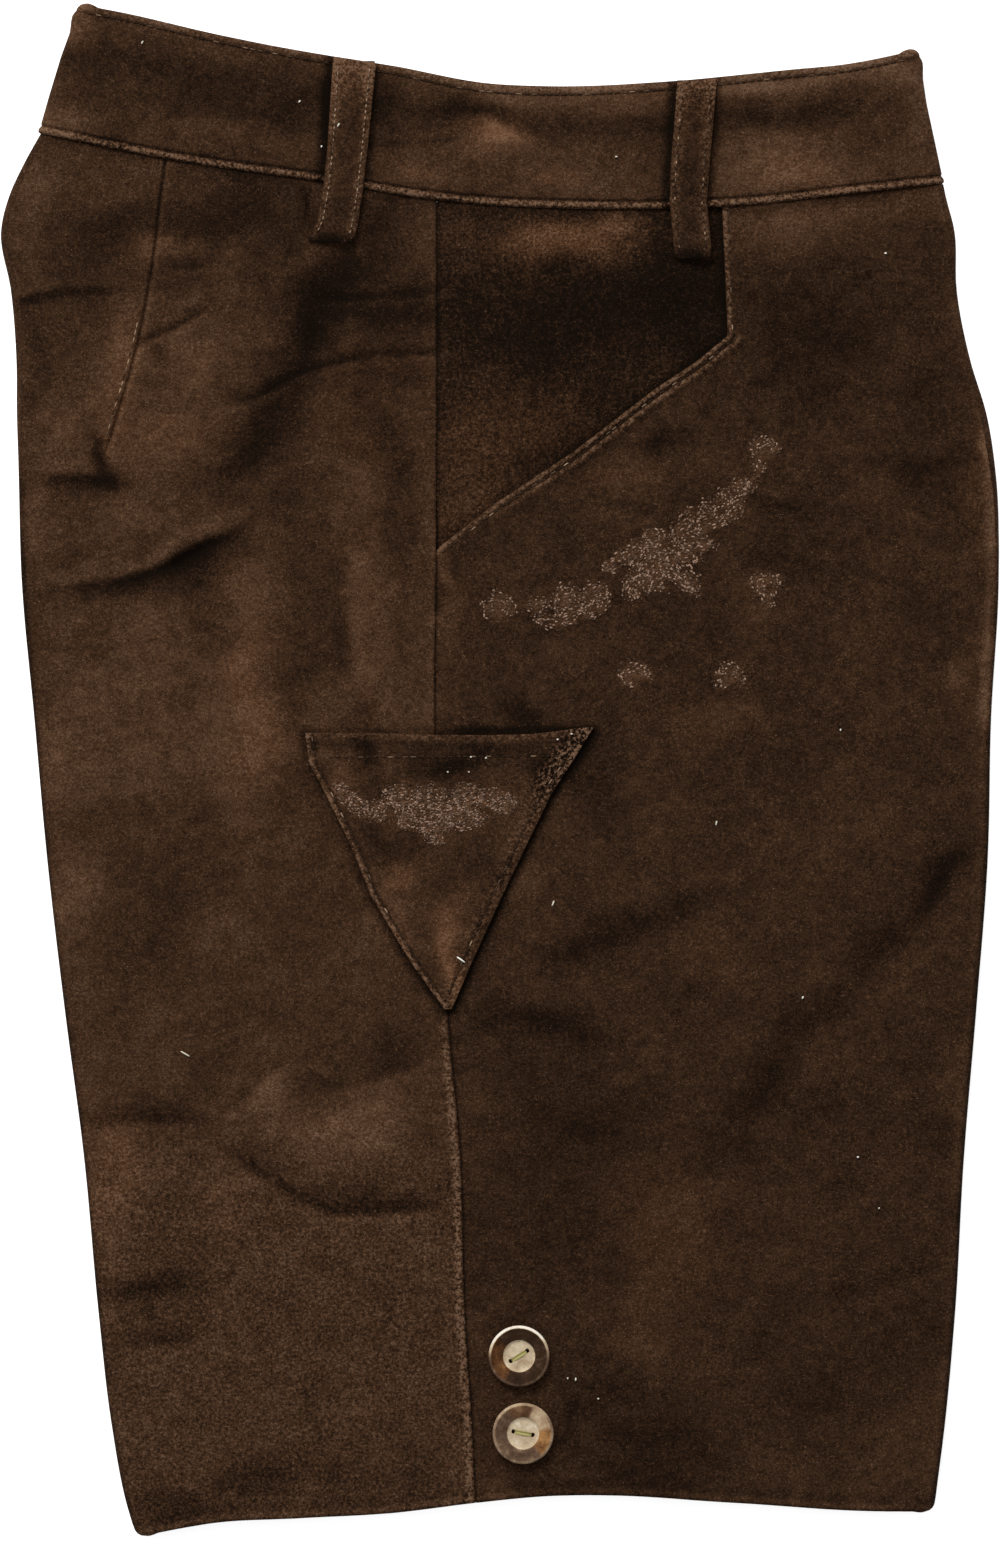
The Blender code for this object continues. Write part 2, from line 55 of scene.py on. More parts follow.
SIDE_WORDS, PANEL_WORDS = {RIGHT: "right", LEFT: "left"}, {FRONT: "front", BACK: "back"}

# --- The form of the shorts, as the solids have it ---

LEATHER = 1.3
BAND = 2.8
SEAM_GAP = -0.1  # the pieces press together at a seam
LAY_GAP = 0.3
INNER_HEIGHT = 0.85  # of each leg's inner layer from the plane between the halves
ON_PANEL = LEATHER + LAY_GAP

LEFT_FLAT, LEFT_AT_WAIST = LEATHER / 2, 1.85
RIGHT_TRUNK, RIGHT_LEG, RIGHT_AT_WAIST = 6.3, 9.8, 7.2
MIDDLE_TRUNK, MIDDLE_LEG, MIDDLE_WAIST = 3.5, 4.05, 4.45
BAND_LEFT, BAND_RIGHT, BAND_SAG = BAND / 2, 7.5, 0.5

FOLD_WIDTH, FOLD_WIDTH_AT_CROTCH, CROTCH_NEAR = 4.0, 2.0, 50.0
TIGHTEST_FOLD = 1.0  # radius
CROTCH_TOP_FRONT, CROTCH_TOP_BACK, CROTCH_X, CROTCH_Y, CROTCH_POWER = 95.0, 125.0, 5.0, -15.0, 1.8
LEG_RISE, WAIST_RISE, LEFT_WAIST_RISE = 70.0, 45.0, 14.0

# Height, centre back edge, side seam, centre front edge
OUTLINE = (
    (256, -183.0, -25.6, 175.0), (242, -190.8, -25.6, 175.6), (230, -196.4, -25.6, 177.6),
    (216, -199.9, -25.6, 181.2), (192, -196.0, -25.6, 182.2), (164, -193.8, -25.6, 187.6),
    (142, -193.6, -25.6, 194.2), (118, -192.8, -25.7, 197.9), (76, -191.6, -25.9, 198.9),
    (20, -186.4, -26.3, 195.8), (-36, -181.2, -23.6, 194.4), (-96, -174.2, -21.2, 189.8),
    (-156, -166.4, -16.0, 184.8), (-216, -160.8, -14.4, 181.4), (-262, -155.4, -11.4, 177.2),
    (-292, -149.8, -10.2, 173.4), (-308, -145.0, -10.0, 171.6),
)
OUTLINE_BACK, OUTLINE_SEAM, OUTLINE_FRONT = 1, 2, 3

# Each edge as (x, y)
HEM = (
    (-146, -306.6), (-132, -303.6), (-117, -300.8), (-80, -298.6), (-42, -296.4), (-10, -292.4),
    (18, -289.8), (45, -289.6), (90, -292.4), (150, -296.0), (173, -296.0),
)
WAIST_SEAM = (
    (-184, 254.2), (-134, 244.0), (-72, 234.8), (-26, 227.6), (0, 225.2),
    (34, 224.0), (68, 224.0), (100, 225.6), (132, 229.2), (177, 234.2),
)
WAIST_TOP = (
    (-170, 306.6), (-150, 302.8), (-114, 294.4), (-78, 287.2), (-42, 281.2), (-6, 274.4),
    (18, 273.2), (66, 275.2), (114, 280.0), (138, 282.4), (167, 288.2),
)

# Share of the waistband's height, its centre back end, its centre front end
BAND_ENDS = (
    (0.0, -184.8, 176.9), (0.3, -180.6, 173.6), (0.6, -176.0, 170.2), (0.8, -172.2, 168.6),
    (0.9, -171.8, 168.8), (1.0, -168.6, 166.6),
)

# Hip pocket mouth, as height and the x of the front panel's edge
POCKET_MOUTH = (
    (88.4, -25.6), (106.8, -2.0), (126.8, 28.4), (152.0, 61.2), (163.6, 78.6), (173.6, 90.6), (226.0, 88.2),
)
MOUTH_PATH = tuple((x, y) for y, x in POCKET_MOUTH)
MOUTH_CORNER = MOUTH_PATH[-2]
POCKET_FOOT = 0.728  # share of the way from hem to waist seam
UNDERLAP, FACING_SLOPE = 12.0, 25.0

# Knife pocket: height, left edge, right edge
KNIFE_POCKET = (
    (15.0, -78.4, 37.2), (3.0, -76.8, 29.0), (-10.0, -70.0, 20.0), (-31.0, -59.8, 9.8), (-50.0, -52.2, 0.7),
    (-77.0, -36.0, -11.6), (-91.0, -25.8, -17.6), (-95.5, -22.6, -19.6),
)
KNIFE_POCKET_GAPE = 0.8
KNIFE_SLANT = 0.88  # from a distance across to one square to the slanting edges
KNIFE_OUTLINE = [(row[2], row[0]) for row in KNIFE_POCKET] + [(row[1], row[0]) for row in KNIFE_POCKET[::-1]]
KNIFE_TIP_X, KNIFE_SEWING = -21.0, 9.4

# Belt loops: name, top x, foot x, foot y, width
BELT_LOOPS = (
    ("back", -58.4, -66.2, 211.0, 16.0),
    ("front", 78.2, 75.6, 205.0, 15.6),
)
LOOP_STEP, LOOP_SLACK = 12.0, 0.9
# Worn edges of the right loops: left edge x and y, right edge x and y
LOOP_EDGES = {
    "back": ((-67.0, 284.4, -49.8, 281.8), (-69.4, 247.0, -53.2, 247.0), (-71.0, 231.7, -55.0, 231.7),
             (-73.4, 219.5, -56.8, 219.5), (-77.6, 210.9, -58.6, 210.4)),
    "front": ((70.3, 274.4, 86.2, 275.4), (67.6, 240.0, 83.4, 243.0), (67.2, 226.8, 82.2, 226.8),
              (69.4, 204.2, 84.4, 204.4)),
}

# Buttons: name, x, y, turn of the two holes in degrees
HEM_BUTTONS = (("upper", 7.2, -233.6, 32.0), ("lower", 8.8, -264.4, -10.0))
HEM_BUTTON_RADIUS, FLY_BUTTON_RADIUS = 12.2, 9.0
# Horn of each button: ring, disc, rim with a painted highlight on one side, wedges
HORN_LOOKS = {
    "upper": (0.20, 0.78, (96, 1.02, 0.40), ((190, 46, 0.32, 0.9),)),
    "lower": (0.42, 0.80, (96, 0.66, 0.52), ((38, 28, 0.72, 0.1), (-20, 26, 0.50, 0.9), (98, 22, 0.44, 0.5))),
    "fly": (0.24, 0.80, (90, 0.7, 0.4), ()),
}
BUTTON_HEIGHT, BUTTON_WEB = 0.28, 0.155  # over the radius
FLY_BUTTON_X, FLY_BUTTON_Y = 140.0, 257.0
HOLE_RADIUS, HOLE_SPREAD = 0.9, 0.31

# What the left half's loops and buttons push up: x, y, half width, half height, then how far they lift
# the left layer, the plane between the halves and the right layer
LUMPS = (
    (-62.5, 247.0, 17.0, 48.0, 1.7, 1.2, 0.7),
    (77.0, 244.0, 15.0, 46.0, 1.7, 1.2, 0.9),
    (6.0, -257.0, 19.0, 43.0, 3.75, 3.2, 0.5),
    (FLY_BUTTON_X, FLY_BUTTON_Y, 12.5, 15.0, 2.9, 1.9, 0.6),
)
LUMP_LEFT, LUMP_MIDDLE, LUMP_RIGHT = 4, 5, 6
LUMP_FADE, MIDDLE_SPREAD = 18.0, 10.0

# The largest folds: depth, half width, then the path along the bottom
FOLDS = (
    (2.0, 9.0, ((-184, 69), (-152, 71), (-134, 75), (-116, 83), (-104, 92), (-90, 106))),  # seat
    (2.4, 15.0, ((-58, 206), (-73, 180), (-92, 138), (-105, 120))),  # down from the back loop
    (1.2, 9.0, ((-28, 169), (-60, 162), (-80, 156), (-108, 148))),  # hip
    (1.0, 8.0, ((-190, 189), (-146, 192))),  # below the back of the waistband
    (1.3, 9.0, ((-178, 116), (-155, 117))),  # at the dart's end
    (1.2, 11.0, ((-76, 112), (-78, 40), (-76, -10))),  # along the thigh
    (1.6, 10.0, ((-155, -141), (-122, -143), (-110, -153), (-93, -162), (-56, -176), (-20, -174))),  # knee
    (1.3, 9.0, ((-80, -131), (-56, -122), (-34, -114))),  # above the knee
    (1.3, 15.0, ((186, -34), (143, -84), (115, -118), (95, -140), (78, -152))),  # across the front
    (1.2, 11.0, ((34, -76), (56, -60), (80, -54))),  # beside the knife pocket
    (1.4, 16.0, ((110, 196), (165, 200))),  # below the front of the waistband
)
POCKET_BULK_X, POCKET_BULK_Y = (-4.0, 118.0), (96.0, 240.0)

# --- Finer form: creases, seams and edges ---

# Depth, half width, how much steeper the left of the path's direction is, ridge beside it, path
CREASES = (
    # Seat
    (0.8, 2.8, 0.5, 0.5, ((-192, 74), (-178, 74), (-160, 75), (-144, 78.4), (-128, 84.6), (-114, 91),
                          (-102, 98.6), (-93, 107))),
    (0.8, 5.2, 0.4, 0.3, ((-160, 74), (-142, 78.4), (-126, 85), (-110, 93.5))),
    # Hip and the valley below the back loop
    (0.8, 2.4, 0.5, 0.5, ((2, 170), (-26, 167.4), (-48, 165.4), (-68, 162), (-82, 157), (-94, 150),
                          (-106, 147), (-122, 145))),
    (0.7, 2.0, 0.6, 0.3, ((-4, 192), (-26, 191), (-40, 190), (-60, 188), (-78, 188))),
    (0.3, 5.5, 1.2, 0.3, ((-50, 214), (-66, 196), (-75, 178), (-81, 158), (-92, 142), (-103, 124),
                          (-113, 106))),
    (0.7, 1.6, 0.8, 0.1, ((-77.4, 234), (-78, 226), (-78.4, 218))),
    # Upper back
    (0.8, 2.4, 0.5, 0.4, ((-202, 185), (-190, 188), (-176, 190.4), (-160, 192.6), (-146, 194.4))),
    (0.8, 5.4, 0.6, 0.3, ((-186, 114), (-168, 116), (-149, 115.6))),
    (0.6, 3.0, 0.8, 0.2, ((-157.5, 136), (-159.6, 126), (-161, 116))),
    (0.7, 2.0, 0.6, 0.5, ((-115, 189), (-122, 182), (-133, 176), (-143, 171), (-150, 163))),
    (0.3, 2.2, 0.6, 0.3, ((-108, 204), (-122, 200), (-137, 200))),
    # Thigh
    (0.4, 5.0, 0.6, 0.3, ((-63, 96), (-62.4, 60), (-63.4, 26))),
    # Knee
    (0.6, 3.2, 0.6, 0.5, ((-14, -171), (-31, -174.6), (-46, -176.6), (-67, -175.6), (-82, -170),
                          (-98, -160.6),
                          (-112, -152), (-117, -142))),
    (0.5, 3.2, 0.7, 0.2, ((-114, -141.6), (-130, -139), (-148, -139.2), (-168, -142.6))),
    (0.4, 3.0, 0.5, 0.4, ((-82, -114), (-96, -125.6), (-116, -139))),
    (0.4, 3.4, 0.5, 0.4, ((-22, -107), (-31, -116), (-56, -123.6), (-67, -127), (-76, -126))),
    (0.3, 4.0, 0.7, 0.2, ((-122, -206), (-160, -208))),
    (0.25, 3.0, 0.7, 0.3, ((-116, -227), (-150, -229))),
    # Across the front
    (0.22, 5.0, 0.8, 0.3, ((190, -22), (180, -38), (172, -52), (160, -64))),
    (0.24, 7.0, 0.9, 0.2, ((178, -54), (160, -66), (140, -83), (126, -98), (112, -116), (100, -136),
                          (92, -158))),
    (0.12, 6.0, 0.8, 0.2, ((40, -104), (12, -100), (-8, -90))),
    (0.14, 6.0, 0.8, 0.2, ((82, -52), (64, -56), (46, -64))),
    # About the embroidery and below the waistband
    (0.25, 3.0, 0.6, 0.3, ((66, 101.5), (48, 105), (31, 110.5))),
    (0.2, 3.5, 0.7, 0.2, ((122, 104), (94, 108.5))),
    (0.3, 3.0, 0.7, 0.2, ((78, 133), (53, 131))),
    (0.4, 5.0, 0.8, 0.2, ((142, 202), (112, 199.5), (89, 203))),
    # Lower front
    (0.22, 5.0, 0.8, 0.2, ((84, -262), (58, -268), (30, -256), (22, -240))),
    (0.25, 4.0, 0.8, 0.2, ((176, -196), (150, -206), (128, -210))),
)
CREASE_FADE = 0.24  # share of a crease over which each end fades
# CREASE_SHADE sets how much painted shade darkens the creases; CREASE_GLEAM sets the painted highlight on
# their ridges
CREASE_DEPTH, CREASE_BEATS, CREASE_STRAY, CREASE_SHADE, CREASE_BENDS = 1.15, 1.3, 0.45, 0.46, 4
CREASE_REACH, CREASE_UNEVEN, CREASE_GLEAM = 4, 0.14, 0.4
STRAYS = ((46.0, 1.0, 71), (21.0, 0.4, 72), (9.0, 0.1, 73))  # length, share and seed
PATCH_STRAY = 1.8
SWELLS = ((0.30, 62.0, 3), (0.12, 19.0, 5), (0.05, 8.0, 9))  # height, length and seed of the soft unevenness
SWELL_STRETCH, STRAY_STRETCH, STRAY_WAVES = (0.7, 1.5), (0.7, 1.4), 3
RAGGED, RAGGED_SEED = (9.0, 5.0, 3.4, 2.4), 44  # lengths of the waves in the embroidery's outlines
SWELL_WAVES = 9

DART = (
    (243.6, -134.0), (228.2, -136.2), (208.0, -138.5), (156.0, -149.1), (142.0, -153.4), (133.4, -155.8),
    (124.2, -158.6), (60.0, -160.0), (-36.0, -150.0), (-156.0, -135.0), (-308.0, -116.0),
)
DART_END = 124.0  # below it the line only guides the mesh
EDGE_ROUND = 0.3  # by which a cut edge bulges
HEM_CORNER, BAND_CORNER = 4.0, 1.8

# Columns beside the side seam and the pocket mouth, and on both sides of the dart
NEAR_EDGE = (0.0, 0.6, 1.1, 1.6, 2.1, 2.6, 3.1, 3.7, 4.4, 5.2, 6.2, 7.4, 8.8, 10.4, 12.2, 14.0)
NEAR_DART = (-2.6, -1.8, -1.2, -0.8, -0.4, 0.0, 0.4, 0.8, 1.2, 1.8, 2.6)
NEAR_HEM = (0.0, 0.8, 1.6, 2.4, 3.2, 4.2, 5.4)
PANEL_ROWS = {RIGHT: 270, LEFT: 110}
FRONT_COLUMNS = {RIGHT: 98, LEFT: 34}
BACK_COLUMNS = {RIGHT: (60, 26), LEFT: (22, 9)}  # before and after the dart
FOLD_STEPS = {RIGHT: 32, LEFT: 20}
INNER_SHARE, INNER_NEAR = 0.55, 30.0
PANEL_HEIGHT = 530.0  # about what a panel measures from hem to waist seam
SHOWN_ON_FOLD = 8  # columns past the fold's start that still show

BAND_ROUND, BAND_SWELL, BAND_HEIGHT = 0.8, 0.6, 50.0
BAND_NEAR = (0.0, 0.4, 0.8, 1.2, 1.6, 2.0, 2.4, 2.8, 3.2, 3.8, 4.6)
BAND_ROWS, BAND_COLUMNS, BAND_STEPS = {RIGHT: 26, LEFT: 14}, {RIGHT: 210, LEFT: 100}, 10
FACING_ROWS, FACING_COLUMNS, FACING_UNDER = {RIGHT: 84, LEFT: 30}, {RIGHT: 60, LEFT: 20}, 8
FACING_BEFORE_EDGE, FACING_LEAST, FACING_OVERLAP = 3, 4, -0.1
KNIFE_ROWS, KNIFE_COLUMNS = 90, 84
MEET_ROUNDS, WIDTH_ROUNDS, END_ROUNDS = 14, 6, 8  # of closing in on a place
LOOP_ROWS, LOOP_COLUMNS = 76, 17
RIM_ANGLES = [math.radians(a) for a in (60, 25, -25, -60)]
LOOP_TUCK, LOOP_TUCK_REACH, LOOP_ARCH = 0.35, 0.035, 0.5  # how the loop dips at its foot and arches across
LOOP_CORNER, LOOP_LENGTH, LOOP_BELOW_TOP, LOOP_STEP_FROM = 1.6, 60.0, 0.4, 2
KNIFE_ROW_EASE, KNIFE_COLUMN_EASE, GAPE_POWER = 0.9, 0.12, 4
SAG, SAG_X, SAG_REACH = 1.0, -12, 34  # of the knife pocket's top edge
CORNER_RISE, CORNER_X, CORNER_REACH = 2.3, 4, 33
INNER_FROM, INNER_OVER = 0.72, 0.14  # of the reach to the crotch seam, where the inner layers begin

# --- Painted shade and highlights, and the nap's own tone: x, y, half width, half height, lightness, and where not 0 warmth and turn ---

PANEL_PATCHES = (
    # Upper back
    (-156, 215, 22, 14, -0.28), (-106, 224, 26, 14, -0.32, 0, 6), (-124, 238, 34, 8, -0.06, 0, 8),
    (-140, 206, 16, 5, 0.10, 0.2), (-152, 168, 8, 20, 0.24, 0.3, -12), (-124, 162, 16, 12, 0.14, 0.2, 20),
    (-130, 134, 22, 12, 0.14, 0.3, 20), (-152, 140, 8, 14, 0.10, 0.3, -8),
    (-56, 206, 13, 15, -0.22, 0, -30), (-70, 186, 14, 18, -0.34, 0, -24), (-86, 172, 9, 20, -0.22, 0, -26),
    (-80, 158, 11, 16, -0.20, 0, -22), (-92, 134, 13, 20, -0.28, 0, -30), (-110, 116, 9, 18, -0.14, 0, -30),
    (-40, 198, 18, 9, -0.12), (-44, 183, 22, 7, -0.34), (-48, 174, 20, 4, -0.08, 0.1, 4),
    (-48, 158, 22, 11, -0.20, 0.2, 4), (-46, 221, 16, 10, -0.18), (-56, 136, 20, 12, -0.12, 0.2, -20),
    (-166, 117, 14, 4, -0.24), (-160, 127, 4, 8, -0.28), (-152, 97, 9, 10, 0.14, 0.1),
    (-136, 204, 9, 4, 0.10, 0.1), (-126, 196, 9, 5, -0.16), (-122, 212, 14, 5, -0.14),
    (-90, 206, 9, 14, -0.20, 0, -20), (-78, 198, 6, 11, 0.14, 0, -20), (-89, 222, 5, 6, 0.14),
    (-30, 188, 8, 9, -0.12), (-187, 168, 7, 20, -0.20), (-188, 142, 5, 6, -0.12), (-188, 236, 6, 14, 0.16),
    (-178, 126, 9, 7, 0.12, 0.1), (-184, 98, 8, 14, 0.12, 0.1), (-140, 168, 4, 7, -0.14),
    # Seat and thigh
    (-52, 62, 9, 52, 0.12, 0.2), (-42, 114, 7, 28, -0.20), (-63, 112, 5, 26, 0.08, 0.1),
    (-52, 96, 14, 14, -0.10), (-75, 56, 10, 42, -0.17), (-99, 26, 12, 46, 0.22, 0.4),
    (-120, 82, 18, 6, -0.26, 0, 26), (-152, 74, 24, 3, -0.14, 0, 4), (-88, 106, 14, 8, -0.16, 0, 30),
    (-108, 81, 11, 6, -0.20, 0, 30), (-112, 98, 14, 4, 0.10, 0.1, 26), (-138, 90, 11, 4, -0.12, 0, 20),
    (-172, 81, 14, 4, 0.10), (-144, 26, 40, 36, 0.12, 0.1), (-122, 60, 9, 20, -0.06),
    (-90, 54, 8, 14, -0.12), (-162, 53, 8, 8, -0.12), (-172, 138, 9, 8, 0.14, 0.2),
    (-172, 196, 14, 22, -0.10), (-132, -62, 7, 18, -0.12), (-80, -6, 14, 24, -0.08),
    (-68, -10, 4, 9, -0.10), (-44, -108, 9, 12, -0.12), (-48, -42, 11, 22, 0.20, 0.1),
    (-62, -28, 6, 8, 0.12, 0.1), (-112, -64, 10, 14, 0.12), (-115, -122, 12, 6, -0.14, 0, 34),
    (-174, -46, 12, 28, 0.22, 0.1), (-180, 0, 8, 20, 0.14, 0.1),
    # Knee and lower back
    (-92, -134, 12, 10, 0.18, 0.1, 38), (-68, -131, 9, 7, -0.12), (-84, -126, 7, 6, 0.12),
    (-64, -146, 26, 14, 0.20, 0.1, 8), (-42, -130, 14, 8, 0.12, 0.1, 20), (-50, -173, 34, 5, -0.14, 0, -3),
    (-44, -190, 30, 6, 0.06, 0, -2), (-156, -162, 13, 34, 0.17, 0.3), (-140, -133, 24, 5, -0.10),
    (-168, -124, 9, 12, 0.14, 0.1), (-108, -173, 10, 9, 0.12, 0.2), (-144, -207, 26, 6, -0.16, 0, 3),
    (-134, -226, 16, 4, -0.12), (-90, -283, 28, 9, -0.20, 0, 3), (-34, -278, 8, 11, -0.12),
    (-128, -292, 22, 5, -0.16, 0, -10), (-2, -287, 8, 9, 0.22), (23, -259, 4, 11, -0.14),
    # Upper front
    (112, 215, 26, 6, 0.16, 0.1, 4), (124, 207, 16, 8, 0.20), (132, 224, 30, 8, 0.17, 0.1, 4),
    (166, 232, 12, 8, 0.10), (98, 203, 10, 8, 0.10), (106, 192, 9, 6, -0.12), (136, 184, 48, 24, -0.15),
    (130, 174, 16, 8, -0.08), (172, 149, 10, 9, -0.14), (116, 156, 16, 9, -0.12), (102, 110, 8, 5, 0.12),
    (166, 120, 20, 5, -0.16), (63, 133, 15, 4, -0.16), (48, 116, 17, 6, 0.16, 0.3, 10),
    (112, 104, 12, 5, -0.12), (190, 120, 5, 20, 0.12, 0.3), (196, 74, 5, 15, -0.17),
    (187, 38, 5, 14, 0.16, 0.1), (6, 26, 10, 7, -0.32), (27, 8, 7, 9, -0.14), (-72, 12, 6, 18, 0.16, 0.1),
    (-54, 22, 5, 7, -0.22), (-24, 27, 8, 5, 0.12), (108, 84, 9, 3, -0.14), (102, 61, 12, 6, 0.12),
    (86, 103, 14, 6, -0.12, 0, 35), (17, 62, 7, 5, -0.12), (18, 53, 8, 6, -0.12),
    (-22, 78, 5, 20, 0.20, 0.2), (-25, 54, 4, 12, 0.12), (-60, 70, 4, 14, 0.12), (-32, 98, 5, 8, -0.14),
    # Front thigh
    (41, -8, 12, 16, -0.18, 0, 20), (177, -44, 8, 14, -0.24, 0, -24), (154, -70, 14, 9, -0.08, 0, 40),
    (118, -100, 17, 9, -0.08, 0, 42), (96, -132, 9, 24, -0.10, 0, -36), (122, -130, 14, 12, -0.12),
    (184, -134, 6, 24, 0.14), (84, -156, 16, 9, -0.08, 0, 10), (60, -60, 28, 6, -0.16, 0, 14),
    (76, -61, 9, 5, -0.10), (34, -72, 15, 6, -0.12, 0, 20), (14, -102, 30, 10, -0.20, 0, -8),
    (84, -76, 14, 12, 0.08, 0.1), (84, 20, 22, 9, 0.14, 0.1), (6, -40, 10, 9, 0.10),
    (-12, -128, 6, 9, 0.12), (164, -146, 30, 20, -0.05),
    # Lower front
    (20, -160, 20, 46, -0.14), (48, -136, 20, 16, -0.10), (66, -182, 20, 34, 0.14, 0.2),
    (56, -272, 32, 14, -0.13), (42, -248, 16, 6, -0.16, 0, -10), (52, -226, 11, 8, 0.12, 0.1),
    (120, -250, 42, 20, -0.07), (160, -264, 14, 10, 0.08),
)
FACING_PATCHES = (
    (25, 209, 27, 10, 0.52, 0.6), (42, 220, 12, 5, 0.48, 0.3), (34, 184, 50, 18, -0.18),
    (-2, 140, 20, 20, 0.14, 0.2, 30), (-14, 118, 20, 26, 0.20, 0.2), (22, 140, 16, 14, 0.12, 0.2, 30),
    (76, 190, 20, 26, -0.16), (80, 206, 6, 5, 0.12), (-18, 212, 9, 14, 0.16, 0.1), (6, 166, 24, 10, -0.12),
    (12, 156, 12, 10, -0.08), (-16, 98, 10, 12, 0.18, 0.1), (39, 171, 8, 6, 0.12, 0.3),
)
BAND_PATCHES = (
    (116, 243, 20, 8, 0.24, 0.2, 5), (2, 251, 13, 6, 0.58, 0.6, -5), (-6, 259, 9, 4, -0.20),
    (160, 274, 12, 8, 0.23), (22, 239, 12, 4, 0.10, 0.3), (28, 270, 10, 4, 0.18),
    (-88, 262, 22, 6, -0.20, 0, -10), (-120, 266, 22, 6, -0.14, 0, -12), (-46, 264, 5, 13, -0.20),
    (-68, 264, 3, 9, -0.46, 0, 8), (64, 268, 5, 6, 0.12), (-16, 262, 9, 5, -0.22),
    (-36, 243, 13, 6, 0.12, 0.2, -8), (-120, 254, 18, 5, 0.06, 0.1, -12), (162, 264, 9, 5, 0.08),
    (48, 267, 20, 7, 0.18, 0.1, 4), (98, 271, 22, 5, 0.30, 0, 6), (90, 266, 12, 5, 0.14),
    (-46, 246, 10, 7, -0.12), (130, 278, 34, 4, 0.20, 0, 6), (166, 268, 6, 14, 0.16),
    (-2, 268, 16, 6, 0.22), (134, 236, 30, 6, 0.08, 0.1, 5), (-166, 297, 9, 8, 0.30, 0.1, -12),
    (-176, 252, 13, 9, 0.36), (-120, 290, 22, 4, 0.12, 0, -12),
)
KNIFE_PATCHES = (
    (-20, 3, 26, 4.5, -0.34), (-61, -4, 7, 8, 0.20, 0.4, -30), (-18, -72, 6, 20, 0.34, 0.6),
    (-38, -32, 9, 4, -0.10), (-47, -24, 5, 5, -0.12), (-46, -10, 4, 6, -0.12), (-40, -21, 7, 4, 0.14, 0.2),
    (-8, -38, 15, 8, -0.10), (-57, 4, 4, 10, -0.30, 0, 14), (-42, -42, 8, 9, 0.16, 0.4),
    (-20, -92, 5, 5, 0.22), (-26, -86, 6, 10, 0.10), (-38, -62, 6, 12, 0.14, 0.2, 35),
    (-49, -46, 5, 12, 0.12, 0, 30), (-73, 9, 4, 5, 0.18), (18, -3, 8, 7, -0.30), (-3, -10, 6, 3, 0.06, 0.6),
)
PATCH_EDGE = 1.3  # over 1, a patch is flatter in the middle than a bell and ends more sharply
BACK_TONE, FRONT_TONE, FACING_TONE, BAND_TONE, KNIFE_TONE = 0.54, 0.42, 0.21, 0.51, 0.50
LOOP_TONES = {"back": 0.56, "front": 0.48}
PLAIN_TONE = 0.45  # of what faces down or lies inside
FOLD_SHADE, EDGE_SHADE = 0.5, 0.16  # painted shade on the folded edges and the cut edges
GLEAM, GLEAM_HIP, GLEAM_TOP, GLEAM_FOOT = 0.10, 0.32, 142.0, 10.0  # painted highlight: a light strip inside the front fold
GLEAM_FADE, GLEAM_FROM_FOLD, GLEAM_WIDTH, GLEAM_SPREAD = 14, 2.6, 2.0, 1.2
THIGH_STEP_Y, THIGH_STEP, THIGH_STEP_FADE, THIGH_STEP_X = -8.0, 0.09, 70.0, -80.0

# Relief along edges and seams, and the lightness rows that paint highlights on their ridges and shade in
# their grooves and hollows, as rows for bells(): height, how far out, half width
HEM_FORM = ((0.12, 1.6, 1.3), (-0.10, 4.4, 1.0))
HEM_LIGHT = ((-0.24, 0, 0.8), (0.10, 2.0, 1.0), (-0.08, 4.4, 2.0))
WAIST_LIGHT = ((-0.16, 0, 2.4),)
DART_FORM = ((0.18, 1.6, 1.0), (0.12, -1.6, 1.0), (-0.45, 0, 0.5))
DART_LIGHT = ((0.12, 1.7, 0.9), (-0.34, 0, 0.6))
MOUTH_FORM, MOUTH_LIGHT = ((0.42, 1.0, 1.0),), ((0.26, 1.0, 1.1),)
SECOND_RIDGE_FORM = ((0.42, 4.2, 1.0), (-0.42, 2.6, 0.5))
SECOND_RIDGE_LIGHT = ((0.26, 4.2, 1.0), (-0.40, 2.6, 0.55), (-0.12, 6.2, 1.4))
BAND_TOP_FORM = ((0.15, 1.5, 1.2), (-0.22, 3.6, 0.6))
BAND_TOP_LIGHT = ((0.24, 1.2, 2.0), (-0.24, 3.7, 0.5))
BAND_LIGHT = ((-0.16, 0.66, 0.12), (0.05, 0.22, 0.16))  # painted shade on the upper half of the band's sag and a painted highlight on its lower half, over the share of the band's height
KNIFE_LEFT_FORM = ((0.24, 1.0, 0.9), (-0.20, 2.4, 0.6))
KNIFE_LEFT_LIGHT = ((0.17, 0.9, 0.9), (-0.16, 2.7, 0.7))
KNIFE_RIGHT_FORM = ((0.24, 1.5, 1.2), (-0.20, 3.6, 0.7))
KNIFE_RIGHT_LIGHT = ((-0.10, 1.7, 1.5), (-0.16, 3.7, 0.7))
KNIFE_TOP_FORM = ((0.24, 1.0, 0.9), (-0.20, 2.6, 0.6))
KNIFE_TOP_LIGHT = ((0.12, 1.0, 0.9), (-0.14, 4.4, 1.8), (0.08, KNIFE_SEWING, 0.9))
LOOP_FORM, LOOP_LIGHT = ((0.28, 1.6, 1.3), (-0.16, 3.6, 0.9)), ((0.05, 1.6, 1.3), (-0.12, 7.0, 3.0))
LOOP_END_LIGHT = ((-0.5, 1, 0.04), (0.24, 0, 0.16))  # a painted shadow at the foot and a lighter top, over the share of the way down the loop

# --- Sewing ---

STITCH_PITCH, STITCH_LENGTH, STITCH_RADIUS, STITCH_LIFT = 3.0, 2.2, 0.27, 0.12
STRAND_AT, STRAND_THICK, STRAND_TIP = (0.0, 0.16, 0.5, 0.84, 1.0), (0.45, 0.92, 1.0, 0.92, 0.45), 0.3
LOOP_STITCH_LIFT = 0.2
